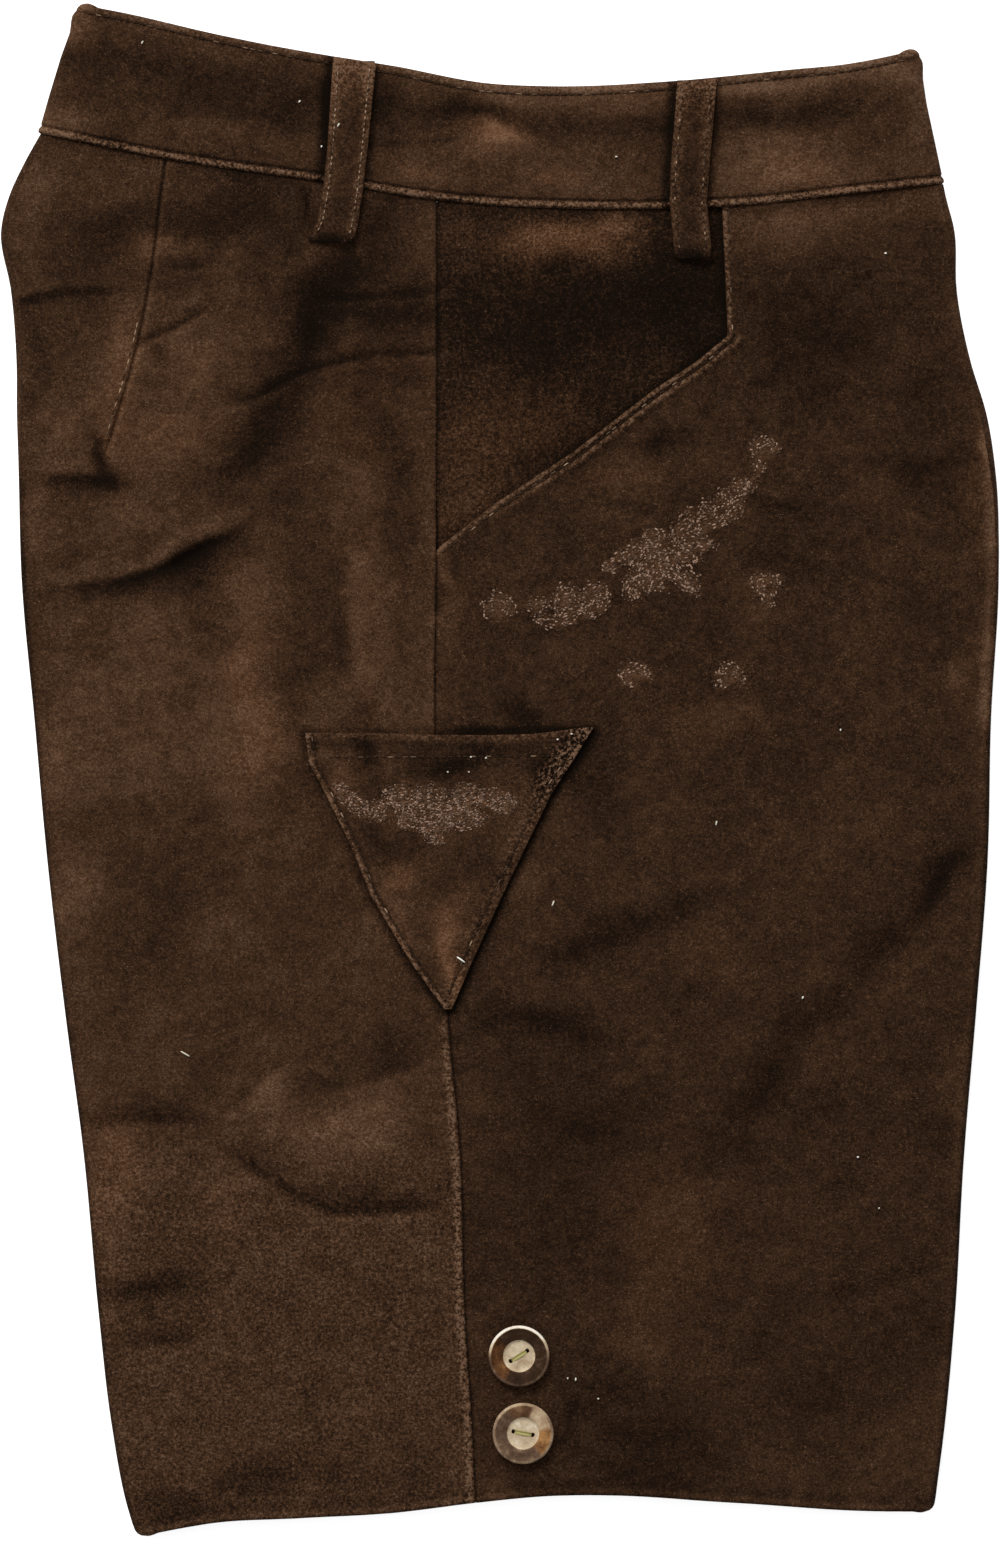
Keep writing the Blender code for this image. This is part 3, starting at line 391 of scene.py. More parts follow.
# The duller a row is, the fewer of its stitches are pale
DOT_DULLNESS, VEIN_DULLNESS, LOOP_DULLNESS = 2.2, 0.8, {"back": 0.5, "front": 3.0}
DART_SEWN, BAND_SEWN = range(180, 128, -4), range(-166, 164, 4)  # y of the one row and x of the other
# How far the rows lie from the edges
MOUTH_SEWING, MOUTH_INWARD, DART_SEWING, BAND_SEWING = 2.6, (0.577, -0.817), 1.7, 3.6
MOUTH_SHORT_ROW = ((MOUTH_CORNER[0] + 2.0, MOUTH_CORNER[1] - 2), (90.6, 224.0))
KNIFE_LEFT_SEWING, KNIFE_RIGHT_SEWING, KNIFE_SEWING_ENDS, KNIFE_SEWING_SLOPE = 2.7, 4.0, (-70.0, 24.0), 0.6
BUTTON_STRANDS = (-0.7, -0.35, 0.0, 0.35, 0.7)  # how far aside each lies, over the hole's radius
DOT_PITCH, DOT_LENGTH, DOT_RADIUS, DOT_LIFT = 1.12, 0.72, 0.38, 0.12
VEIN_PITCH, VEIN_LENGTH = DOT_PITCH * 1.1, DOT_LENGTH * 1.2
RING_GAP, RING_INSET = 1.06, 0.35  # between rings of dots, and the share of it before the first
DOT_WANDER, DOT_TURN = 0.12, 0.16
KNIFE_FINENESS = 0.76  # by which the dots on the knife pocket lie closer
WHOLE = 360

# Embroidery as lobes with rings of dots in them: x, y, half width, half height, turn in degrees, and where
# the rings aren't whole the middle and the width of what they span
FRONT_LOBES = (
    # Blossom at the left
    (-1, 64.4, 6.7, 6.6, 0, 90, 250),
    # Lobed leaf
    (15.3, 65.8, 4.8, 3.2, 10), (26.6, 69, 6.6, 5.4, 0), (38.4, 70.2, 6, 5, 10),
    (19.4, 59.4, 7.2, 2.6, -14), (28, 62.6, 8.6, 3.6, 15), (37.6, 65, 6, 3.8, 32),
    # Large leaf
    (45.4, 82.6, 6.6, 3.2, 30), (52.8, 86.2, 6.6, 4.6, 32), (61.2, 91.6, 6, 4.8, 0),
    (60.4, 82, 9.5, 7.2, 30), (77.6, 90.4, 9.6, 3.6, -3), (71.6, 95, 6.4, 3.6, 36),
    (74.4, 85.2, 6.4, 4.2, 0), (53, 73.2, 4.4, 6.4, -22), (62.4, 74.4, 6, 3.8, 22),
    (73.4, 75.8, 7.6, 4.2, -44),
    # Upper leaf
    (75.8, 100.6, 4.8, 4, 30), (82.4, 104.4, 5.4, 4.2, 35), (90, 109.2, 5.8, 4.2, 35),
    (97, 113, 4.8, 3.8, 30), (93.2, 104.4, 6.6, 3.8, 42), (83.6, 98.2, 8, 3, 22),
    # Bud above it
    (105.4, 128, 6, 5.4, 20, 70, 250), (103.4, 121.8, 2.9, 3, 0), (102.2, 117.8, 1.6, 2.6, 0),
    # Bud at the right
    (104.2, 74, 3.9, 4.8, 25), (109.2, 75.8, 3.3, 3.4, 0), (106.6, 69, 3.2, 4.4, 10),
    # Blossoms below
    (53.4, 38, 7, 5.4, 0, 90, 230), (51.8, 34.6, 3, 1.8, 0), (91.6, 38, 5.8, 5, -10, 75, 250),
    (87.2, 34.6, 3.6, 2.6, 30),
)
KNIFE_LOBES = (
    (-41.4, -11.4, 6.4, 5, -10), (-36, -16, 7.4, 6, -30), (-29.6, -11.6, 8.4, 5.8, 0),
    (-27.6, -20, 9, 6.4, 0), (-27, -26, 4.6, 4.6, 0), (-37, -20.4, 4.6, 4, 0), (-12.4, -19.6, 7, 4.2, 20),
    (-18, -16, 9, 6.2, 20), (-14, -10, 7, 4.4, 0), (-5.6, -11.4, 7.6, 4.8, 0), (0.6, -13.6, 5.6, 4, 12),
    (-62.6, -9.4, 5.4, 3, -48), (-57.4, -14, 5, 3.4, -36), (-51, -16.6, 5.6, 4.2, 10),
)
LOBE_STRAY = 0.5  # by which the lobes' outlines wander
LINT_RADIUS, LINT_SHOWN, LINT_ABOVE = 0.34, 0.6, 0.15
# Rows of dots: veins and the long threads across the large leaf
FRONT_VEINS = (
    ((18, 65.8), (28, 63.8), (36, 66.6), (43, 70.4)),
    ((46, 83), (54, 82.6), (62, 83.4), (72, 88.6), (84, 90.6)),
    ((60, 94), (60, 88), (58, 84)),
    ((57, 84), (52, 76), (49, 68)), ((59, 83), (56, 75), (54, 67.6)), ((61, 82), (60, 75), (59, 69)),
    ((63, 82), (65, 76), (67, 71.6)), ((65, 83), (71, 76), (75.6, 69.6)), ((67.6, 84), (74, 77), (79, 72)),
    ((70.6, 85.6), (77, 79), (80.6, 75.4)), ((64, 86), (58, 89), (51, 89)),
    ((76, 99.6), (86, 103), (96, 110.4), (101, 116)),
)
KNIFE_VEINS = (
    ((-44, -13), (-30, -14.6), (-16, -12.4), (4, -12)),
    ((-28, -12), (-27.4, -27)), ((-38, -12), (-31, -22)), ((-18, -12), (-23, -22)),
)

# Light specks and fibres that cling to the nap: x, y, length, turn in degrees
LINT = (
    (-16.0, -75.6, 3.8, -35), (20.8, -53.2, 2.2, 70), (-126.0, -113.2, 4.0, -30), (86.0, -21.2, 1.7, 80),
    (120.4, -90.8, 1.1, 60), (-143.2, 290.4, 1.3, 60), (-80.4, 266.8, 1.0, 40), (-71.6, 248.8, 0.9, 80),
    (-64.8, 257.2, 1.5, 62), (46.0, 244.8, 0.9, 10), (153.6, 206.4, 1.0, 0), (135.6, 16.0, 0.8, 80),
    (38.8, -250.8, 0.8, 20), (29.8, -243.0, 1.2, 85), (26.6, -242.6, 0.7, 85), (142.4, -154.4, 0.8, 0),
    (150.8, -174.8, 0.7, 40), (28.2, 14.4, 0.9, 0), (34.0, 16.4, 0.9, 60), (22.6, 12.2, 0.8, 20),
    (-12.0, 5.2, 0.7, 0), (-6.0, 4.8, 0.7, 0), (-21.2, -0.8, 0.7, 0), (-12.8, -0.8, 0.6, 0),
)


# --- Curves and heights ---


def smooth(t):
    """0 below 0, 1 above 1, and an even rise between them."""
    t = np.clip(t, 0.0, 1.0)
    return t * t * (3 - 2 * t)


def bell(distance, width):
    return np.exp(-((distance / width) ** 2))


def bells(distance, *rows):
    """The sum of soft ridges, or troughs where below 0: height, how far out, half width."""
    return sum(height * bell(distance - place, width) for height, place, width in rows)


def turned(x, y, degrees):
    """The point turned about the origin."""
    c, s = math.cos(math.radians(degrees)), math.sin(math.radians(degrees))
    return x * c - y * s, x * s + y * c


def read_curve(table, column, at):
    """A column of the table at this value of its first column, on a smooth curve through the rows."""
    rows = sorted(table)
    known = np.array([row[0] for row in rows], float)
    values = np.array([row[column] for row in rows], float)
    slopes = np.gradient(values, known)
    first = np.clip(np.searchsorted(known, at) - 1, 0, len(known) - 2)
    step = known[first + 1] - known[first]
    t = np.clip((at - known[first]) / step, 0.0, 1.0)
    ease = smooth(t)
    return (
        values[first] * (1 - ease)
        + values[first + 1] * ease
        + step * slopes[first] * t * (1 - t) ** 2
        - step * slopes[first + 1] * t**2 * (1 - t)
    )


def edge_at(toward, y):
    return read_curve(OUTLINE, OUTLINE_FRONT if toward == FRONT else OUTLINE_BACK, y)


def seam_at(y):
    return read_curve(OUTLINE, OUTLINE_SEAM, y)


def dart_at(y):
    return read_curve(DART, 1, y)


def hem_at(x):
    return read_curve(HEM, 1, x)


def waist_at(x):
    """The height of the seam between the panels and the waistband."""
    return read_curve(WAIST_SEAM, 1, x)


def top_at(x):
    return read_curve(WAIST_TOP, 1, x)


def mouth_at(y):
    """The front panel's edge beside the side seam, which the pocket mouth cuts away."""
    heights, edges = zip(*POCKET_MOUTH)
    return np.where(y < heights[0], seam_at(y), np.interp(y, heights, edges))


def knife_sides(y):
    """The x of the knife pocket's left and right edges."""
    heights, lefts, rights = zip(*KNIFE_POCKET[::-1])
    return np.interp(y, heights, lefts), np.interp(y, heights, rights)


def loop_sides(part):
    """The worn edges of a right loop from its foot up: left x and y, right x and y."""
    return np.array(LOOP_EDGES[part][::-1]).T


def row_level(x, share):
    """Height of a row that lies this share of the way from the hem to the waist seam."""
    low = hem_at(x) + EDGE_ROUND
    high = waist_at(x) - SEAM_GAP / 2 - EDGE_ROUND
    return (1 - share) * low + share * high


def where_row_meets(line, share):
    """The x where rows cross a line that is given as x for a height."""
    x = line(np.zeros_like(share))
    for _ in range(MEET_ROUNDS):
        x = line(row_level(x, share))
    return x


def below_crotch_top(toward, y):
    """0 where the crotch seam leaves the edge and 1 at its lowest point."""
    top = np.where(toward == FRONT, CROTCH_TOP_FRONT, CROTCH_TOP_BACK)
    return np.maximum(top - y, 0.0) / (top - CROTCH_Y)


def past_crotch_seam(x, y):
    """Below 1 in the trunk, 1 on the U of the crotch seam and over 1 in the legs."""
    toward = np.where(x > CROTCH_X, FRONT, BACK)
    reach = np.abs(np.where(toward == FRONT, edge_at(FRONT, y), edge_at(BACK, y)) - CROTCH_X)
    across = np.abs(x - CROTCH_X) / reach
    down = below_crotch_top(toward, y)
    return (across**CROTCH_POWER + down**CROTCH_POWER) ** (1 / CROTCH_POWER)


def leg_share(x, y):
    return smooth((past_crotch_seam(x, y) - 1) * (CROTCH_TOP_FRONT - CROTCH_Y) / LEG_RISE)


def waist_share(x, y, rise):
    return 1 - smooth((waist_at(x) - y) / rise)


def lumps(x, y, column, spread=0.0):
    total = 0.0
    for row in LUMPS:
        out = np.maximum(np.abs(x - row[0]) - row[2], np.abs(y - row[1]) - row[3]) - spread
        total = np.maximum(total, row[column] * (1 - smooth(out / LUMP_FADE)))
    return total


def along_path(x, y, path):
    """How far a point is from the path, on which side of it, and the share of the way along it."""
    lengths = [math.dist(a, b) for a, b in zip(path, path[1:])]
    nearest, side, share, before = np.inf, 1.0, 0.0, 0.0
    for (x0, y0), (x1, y1), length in zip(path, path[1:], lengths):
        t = np.clip(((x - x0) * (x1 - x0) + (y - y0) * (y1 - y0)) / length**2, 0.0, 1.0)
        away = np.hypot(x - x0 - t * (x1 - x0), y - y0 - t * (y1 - y0))
        left = np.sign((x1 - x0) * (y - y0) - (y1 - y0) * (x - x0))
        closer = away < nearest
        side = np.where(closer, left, side)
        share = np.where(closer, (before + t * length) / sum(lengths), share)
        nearest = np.minimum(nearest, away)
        before += length
    return nearest, side, share


def curved(path):
    """More points along a path, on a smooth curve through its own points."""
    points = np.array(path, float)
    known = [2 * points[0] - points[1], *points, 2 * points[-1] - points[-2]]
    found = [points[0]]
    for before, first, second, after in zip(known, known[1:], known[2:], known[3:]):
        for t in np.arange(1, CREASE_BENDS + 1) / CREASE_BENDS:
            bend = (2 * before - 5 * first + 4 * second - after) * t**2
            bend = bend + (3 * (first - second) + after - before) * t**3
            found.append(first + 0.5 * ((second - before) * t + bend))
    return found


def fold_depth(x, y):
    depth = 0.0
    for deep, width, path in FOLDS:
        depth = np.maximum(depth, deep * bell(along_path(x, y, path)[0], width))
    return depth


def creases(x, y):
    """Troughs that are steeper on one side, each with a low ridge on that side, fading at both ends.

    Returns how deep they are and how much painted shade lies in them, less where a painted highlight lies on
    the ridge.
    """
    x, y = stray(x, y, CREASE_STRAY)
    depth, shade = np.zeros(x.shape), np.zeros(x.shape)
    for deep, width, steepness, ridge, path in CREASES:
        path = curved(path)
        west, south = np.min(path, axis=0) - CREASE_REACH * width
        east, north = np.max(path, axis=0) + CREASE_REACH * width
        near = (x > west) & (x < east) & (y > south) & (y < north)
        away, side, share = along_path(x[near], y[near], path)
        uneven = 1 - CREASE_UNEVEN + CREASE_UNEVEN * np.sin(CREASE_BEATS * math.tau * share + path[0][0])
        fade = uneven * smooth(np.minimum(share, 1 - share) / CREASE_FADE)
        signed = away * side
        trough = bell(away, np.where(side > 0, width * steepness, width))
        beside = bell(signed - 2 * width * steepness, width)
        depth[near] += CREASE_DEPTH * fade * (deep * trough - ridge * beside)
        # Painted shade in the trough, and a painted highlight on the ridge beside it
        shade[near] += fade * (deep * trough - CREASE_GLEAM * ridge * beside)
    return depth, shade


def stray(x, y, amount):
    """The point moved a little, so that lines and patches on the leather have natural edges."""
    for length, share, seed in STRAYS:
        random = np.random.default_rng(seed)
        for _ in range(STRAY_WAVES):
            angle, phase_x, phase_y = random.uniform(0, math.tau, 3)
            stretched = length * random.uniform(*STRAY_STRETCH)
            way = math.tau * (x * math.cos(angle) + y * math.sin(angle)) / stretched
            x = x + amount * share * np.sin(way + phase_x)
            y = y + amount * share * np.sin(way + phase_y)
    return x, y


def swell(x, y):
    """The soft unevenness of leather that has been worn."""
    total = 0.0
    for height, length, seed in SWELLS:
        random = np.random.default_rng(seed)
        for _ in range(SWELL_WAVES):
            angle, phase = random.uniform(0, math.tau), random.uniform(0, math.tau)
            stretch = random.uniform(*SWELL_STRETCH)
            wave = math.tau * (x * math.cos(angle) + y * math.sin(angle)) / (length * stretch)
            total = total + height / math.sqrt(SWELL_WAVES) * np.sin(wave + phase)
    return total


def middle_height(x, y):
    """Of the plane between the right half and the left half."""
    return (
        MIDDLE_TRUNK
        + (MIDDLE_LEG - MIDDLE_TRUNK) * leg_share(x, y)
        + (MIDDLE_WAIST - MIDDLE_TRUNK) * waist_share(x, y, WAIST_RISE)
        + lumps(x, y, LUMP_MIDDLE, MIDDLE_SPREAD)
    )


def outer_height(side, x, y):
    """Of a half's outer layer. The left one is flat on the surface."""
    at_waist = (LEFT_AT_WAIST - LEFT_FLAT) * waist_share(x, y, LEFT_WAIST_RISE)
    left = LEFT_FLAT + np.maximum(at_waist, lumps(x, y, LUMP_LEFT))
    if side == LEFT:
        return left
    high = (
        RIGHT_TRUNK
        + (RIGHT_LEG - RIGHT_TRUNK) * leg_share(x, y)
        + (RIGHT_AT_WAIST - RIGHT_TRUNK) * waist_share(x, y, WAIST_RISE)
        + lumps(x, y, LUMP_RIGHT)
    )
    inner_layers = smooth((past_crotch_seam(x, y) - INNER_FROM) / INNER_OVER)
    lowest = left + ON_PANEL
    lowest = lowest + inner_layers * (middle_height(x, y) + INNER_HEIGHT + ON_PANEL - lowest)
    (west, east), (south, north) = POCKET_BULK_X, POCKET_BULK_Y
    out = np.maximum(np.maximum(west - x, x - east), np.maximum(south - y, y - north))
    uneven = (fold_depth(x, y) + creases(x, y)[0] - swell(x, y)) * smooth(out / LUMP_FADE)
    calm = smooth((waist_at(x) - y) / LUMP_FADE)
    return np.maximum(high - calm * uneven, np.minimum(lowest, high))


# --- Sheets of leather: the middle of each wall as a grid of points (rows, columns, xyz) ---


def round_the_edge(side, toward, tip, end, widest, outer, middle, steps):
    """The points (x, z) of each row from the fold's start on, round it and in along the inner layer.

    tip is the outermost x of each row and end the x where the layer ends.
    """
    inset = np.abs(tip - end)
    width = widest
    for _ in range(WIDTH_ROUNDS):
        turn = math.pi - np.arcsin(1 - np.minimum(inset, width) / width)
        start = tip - toward * width
        rise = side * (outer(start) - middle(start))
        foot = SEAM_GAP / 2 + (INNER_HEIGHT - SEAM_GAP / 2) * np.maximum(0.0, -np.cos(turn))
        centre = (foot - rise * np.cos(turn)) / (1 - np.cos(turn))
        width = np.minimum(widest, (rise - centre) ** 2 / TIGHTEST_FOLD)
    spare = np.maximum(inset - width, 0.0)
    on_arc = 1 - INNER_SHARE * smooth(spare / INNER_NEAR)
    at = np.linspace(0, 1, steps + 1)
    angle = turn * np.minimum(at / on_arc, 1.0)
    inward = np.clip((at - on_arc) / np.maximum(1 - on_arc, 1e-6), 0.0, 1.0)
    x = tip - toward * (width * (1 - np.sin(angle)) + spare * inward)
    return x, middle(x) + side * (centre + (rise - centre) * np.cos(angle))


def corner_cut(from_edge, radius):
    """How far a rounded corner draws the tip back at this distance from the edge."""
    near = 1 - np.clip(from_edge / radius, 0.0, 1.0)
    return radius * (1 - np.sqrt(1 - near**2))


def row_shares(side):
    """The rows' shares of the way from hem to waist seam, close together at the hem."""
    near = np.array(NEAR_HEM) / PANEL_HEIGHT
    return np.concatenate([near, np.linspace(near[-1], 1, PANEL_ROWS[side])[1:]])[:, None]


def flat_columns(side, toward, share, start, stop):
    """The x of the columns from the side edge to the fold, close together at the edge and at the dart."""
    near = np.array(NEAR_EDGE)
    reach = np.abs(stop - start)
    if toward == FRONT:
        rest = near[-1] + (reach - near[-1]) * np.linspace(0, 1, FRONT_COLUMNS[side])[1:]
        away = np.concatenate([np.broadcast_to(near, (len(share), len(near))), rest], axis=1)
    else:
        before, after = BACK_COLUMNS[side]
        dart = np.abs(where_row_meets(dart_at, share) - start)
        to_dart = near[-1] + (dart + NEAR_DART[0] - near[-1]) * np.linspace(0, 1, before)[1:-1]
        past_dart = dart + NEAR_DART[-1] + (reach - dart - NEAR_DART[-1]) * np.linspace(0, 1, after)[1:]
        edge = np.broadcast_to(near, (len(share), len(near)))
        away = np.concatenate([edge, to_dart, dart + np.array(NEAR_DART), past_dart], axis=1)
    return start + toward * away


def panel_grid(side, toward):
    """A front or back panel from its side edge out to the fold, round it and in to the crotch or inseam.

    Returns the grid and how many of its columns face out.
    """
    share = row_shares(side)
    first_edge = mouth_at if toward == FRONT else seam_at
    tip = where_row_meets(lambda y: edge_at(toward, y), share) - toward * LEATHER / 2
    tip = tip - toward * corner_cut(row_level(tip, share) - row_level(tip, 0.0), HEM_CORNER)
    start = where_row_meets(first_edge, share) + toward * (SEAM_GAP / 2 + EDGE_ROUND)
    inseam = CROTCH_X + toward * (SEAM_GAP / 2 + EDGE_ROUND)
    end = np.full_like(tip, inseam)
    for _ in range(END_ROUNDS):
        down = below_crotch_top(toward, row_level(end, share))
        end = inseam + (tip - inseam) * np.maximum(0.0, 1 - down**CROTCH_POWER) ** (1 / CROTCH_POWER)

    def outer(x):
        return outer_height(side, x, row_level(x, share))

    def middle(x):
        return middle_height(x, row_level(x, share))

    above = row_level(tip, share) - (CROTCH_TOP_FRONT if toward == FRONT else CROTCH_TOP_BACK)
    near_crotch = smooth(np.abs(above) / CROTCH_NEAR)
    widest = FOLD_WIDTH_AT_CROTCH + (FOLD_WIDTH - FOLD_WIDTH_AT_CROTCH) * near_crotch
    fold_x, fold_z = round_the_edge(side, toward, tip, end, widest, outer, middle, FOLD_STEPS[side])
    flat_x = flat_columns(side, toward, share, start, fold_x[:, :1])[:, :-1]
    x = np.concatenate([flat_x, fold_x], axis=1)
    z = np.concatenate([outer(flat_x), fold_z], axis=1)
    return np.stack([x, row_level(x, share), z], axis=-1), flat_x.shape[1]


def band_level(x, share):
    low = waist_at(x) + SEAM_GAP / 2 + BAND_ROUND
    high = top_at(x) - BAND_ROUND
    return (1 - share) * low + share * high


def band_height(side, x, share):
    rest, lump = (BAND_RIGHT, LUMP_RIGHT) if side == RIGHT else (BAND_LEFT, LUMP_LEFT)
    sag = BAND_SAG * 4 * share * (1 - share) if side == RIGHT else 0.0
    uneven = BAND_SWELL * swell(x, band_level(x, share)) if side == RIGHT else 0.0
    return rest - sag + uneven + lumps(x, band_level(x, share), lump)


def waistband_grid(side):
    """Half the waistband, which turns over at both ends to meet the other half."""
    near = np.array(BAND_NEAR) / BAND_HEIGHT
    between = np.linspace(near[-1], 1 - near[-1], BAND_ROWS[side])[1:-1]
    share = np.concatenate([near, between, 1 - near[::-1]])[:, None]

    def outer(x):
        return band_height(side, x, share)

    def middle(x):
        return MIDDLE_WAIST + lumps(x, band_level(x, share), LUMP_MIDDLE)

    ends = {}
    heights, *tips = zip(*BAND_ENDS)
    for toward, known in zip((BACK, FRONT), tips):
        tip = np.interp(share, heights, known) - toward * BAND / 2
        tip = tip - toward * corner_cut((1 - share) * BAND_HEIGHT, BAND_CORNER)
        ends[toward] = round_the_edge(side, toward, tip, tip, FOLD_WIDTH, outer, middle, BAND_STEPS)
    west, east = ends[BACK][0][:, :1], ends[FRONT][0][:, :1]
    flat = west + (east - west) * np.linspace(0, 1, BAND_COLUMNS[side])[1:-1]
    x = np.concatenate([ends[BACK][0][:, ::-1], flat, ends[FRONT][0]], axis=1)
    z = np.concatenate([ends[BACK][1][:, ::-1], outer(flat), ends[FRONT][1]], axis=1)
    return np.stack([x, band_level(x, share), z], axis=-1)


def facing_grid(side):
    """The leather that shows in the hip pocket's mouth, and runs on beneath the front panel."""
    share = np.linspace(POCKET_FOOT, 1, FACING_ROWS[side])[:, None]
    start = where_row_meets(seam_at, share) + SEAM_GAP / 2 + EDGE_ROUND
    below_edge = np.maximum(where_row_meets(mouth_at, share) - FACING_BEFORE_EDGE, start + FACING_LEAST)
    shown = start + (below_edge - start) * np.linspace(0, 1, FACING_COLUMNS[side])
    beneath = below_edge + FACING_BEFORE_EDGE + UNDERLAP * np.linspace(FACING_OVERLAP, 1, FACING_UNDER)
    x = np.concatenate([shown, beneath], axis=1)
    y = row_level(x, share)
    sunk = ON_PANEL * (1 - smooth((below_edge - x) / FACING_SLOPE))
    return np.stack([x, y, outer_height(side, x, y) - side * sunk], axis=-1)


def knife_lift(x):
    """The pocket's top edge sags in the middle and rises to the front corner."""
    return CORNER_RISE * smooth((x - CORNER_X) / CORNER_REACH) ** 1.5 - SAG * bell(x - SAG_X, SAG_REACH)


def knife_pocket_grid():
    """Rows from the top edge down to the point, closer together at the top; the mouth gapes a little."""
    top, foot = KNIFE_POCKET[0][0] - EDGE_ROUND, KNIFE_POCKET[-1][0] + EDGE_ROUND
    y = (top + (foot - top) * np.linspace(0, 1, KNIFE_ROWS) ** KNIFE_ROW_EASE)[:, None]
    left, right = knife_sides(y)
    left, right = left + EDGE_ROUND, right - EDGE_ROUND
    ease = np.linspace(0, 1, KNIFE_COLUMNS)
    across = ease - KNIFE_COLUMN_EASE * np.sin(math.tau * ease)
    x = left + (right - left) * across
    at_top = ((y - foot) / (top - foot)) ** GAPE_POWER
    y = y + knife_lift(x) * at_top
    arch = KNIFE_POCKET_GAPE * at_top * np.sin(math.pi * across)
    return np.stack([x, y, outer_height(RIGHT, x, y) + ON_PANEL + arch], axis=-1)


def loop_grid(side, part, top_x, foot_x, foot_y, width):
    """Rows from the loop's top down. A right loop follows its worn edges, over the band and the panel."""
    down = np.linspace(0, 1, LOOP_ROWS)[:, None]
    share = np.linspace(0, 1, LOOP_COLUMNS)
    if side == RIGHT:
        rows = np.array(LOOP_EDGES[part])
        at = (rows[0, 1] - rows[:, 1]) / (rows[0, 1] - rows[-1, 1])
        left_x, left_y, right_x, right_y = (np.interp(down, at, column) for column in rows.T)
    else:
        left_x = top_x + (foot_x - top_x) * down - width / 2
        right_x = left_x + width
        top_y = top_at(top_x) - LOOP_BELOW_TOP
        left_y = right_y = top_y + (foot_y - top_y) * down
    inset = EDGE_ROUND + corner_cut((1 - down) * LOOP_LENGTH, LOOP_CORNER)
    left_x, right_x = left_x + inset, right_x - inset
    x = left_x + (right_x - left_x) * share
    y = left_y + (right_y - left_y) * share
    if side == LEFT:
        return np.stack([x, y, np.full_like(x, LEATHER / 2)], axis=-1)
    centre = (left_x + right_x) / 2
    level = (left_y + right_y) / 2
    seam = waist_at(centre)
    up = np.clip((level - seam) / (top_at(centre) - seam), 0, 1)
    on_band = 1 - smooth((seam - LOOP_STEP_FROM - level) / LOOP_STEP)
    over_band = band_height(RIGHT, x, up) + BAND / 2 + LOOP_SLACK * np.sin(math.pi * up)
    over_panel = outer_height(RIGHT, centre, level) + LEATHER / 2
    tuck = LOOP_TUCK * bell(down - 1, LOOP_TUCK_REACH)
    arch = LOOP_ARCH * (1 - (2 * share - 1) ** 2)
    z = over_panel + (over_band - over_panel) * on_band + LAY_GAP + LEATHER / 2 - tuck + arch
    return np.stack([x, y, z], axis=-1)


# --- Seams, turned edges, tone, and painted shade and highlights on each sheet: how far the face is raised, lightness and warmth ---


def patches(table, x, y):
    """The lightness and the warmth that a table of soft patches adds: painted shade and highlights, and the
    nap's own tone.
    """
    light, warm = 0.0, 0.0
    x, y = stray(x, y, PATCH_STRAY)
    for centre_x, centre_y, half_width, half_height, lightness, *rest in table:
        warmth, turn = (*rest, 0.0, 0.0)[:2]
        across, up = turned(x - centre_x, y - centre_y, -turn)
        share = np.exp(-(((across / half_width) ** 2 + (up / half_height) ** 2) ** PATCH_EDGE))
        light = light + lightness * share
        warm = warm + warmth * share
    return light, warm


def outside(x, y, outline):
    """How far the point lies outside a closed outline that turns clockwise, below 0 inside it."""
    away = along_path(x, y, [*outline, outline[0]])[0]
    inside = np.zeros(np.shape(x), bool)
    for (x0, y0), (x1, y1) in zip(outline, [*outline[1:], outline[0]]):
        crosses = (y0 > y) != (y1 > y)
        inside ^= crosses & (x < (x1 - x0) * (y - y0) / np.where(y1 == y0, 1e-9, y1 - y0) + x0)
    return np.where(inside, -away, away)


def ragged(x, y):
    """The point moved a little, which gives the lobes uneven outlines."""
    random = np.random.default_rng(RAGGED_SEED)
    for length in RAGGED:
        angle, phase_x, phase_y = random.uniform(0, math.tau, 3)
        way = math.tau * (x * math.cos(angle) + y * math.sin(angle)) / length
        x = x + LOBE_STRAY * np.sin(way + phase_x)
        y = y + LOBE_STRAY * np.sin(way + phase_y)
    return x, y


def embroidered(lobes, x, y):
    """1 where embroidery covers the leather, fading at its edge."""
    x, y = ragged(x, y)
    most = np.zeros(np.shape(x))
    for lobe in lobes:
        most = np.maximum(most, smooth(lobe_share(lobe, x, y) * 4))
    return most


def hidden_face(raised):
    """The face of a piece on the left side, which is plain and raised nowhere as it lies on the surface."""
    plain = np.zeros_like(raised)
    return np.minimum(raised, 0.0), plain + PLAIN_TONE, plain, plain


def knife_shade(x, y):
    """How much the knife pocket's painted shadow darkens the panel beside it, most of all at its right and
    lower left.
    """
    away = outside(x, y, KNIFE_OUTLINE)
    right = smooth((x - KNIFE_TIP_X) / 6)
    low_left = (1 - right) * smooth((-15 - y) / 20)
    return (0.20 + 0.34 * right + 0.16 * low_left) * bell(away - 0.3, 1.2 + 0.7 * right + 0.6 * low_left)


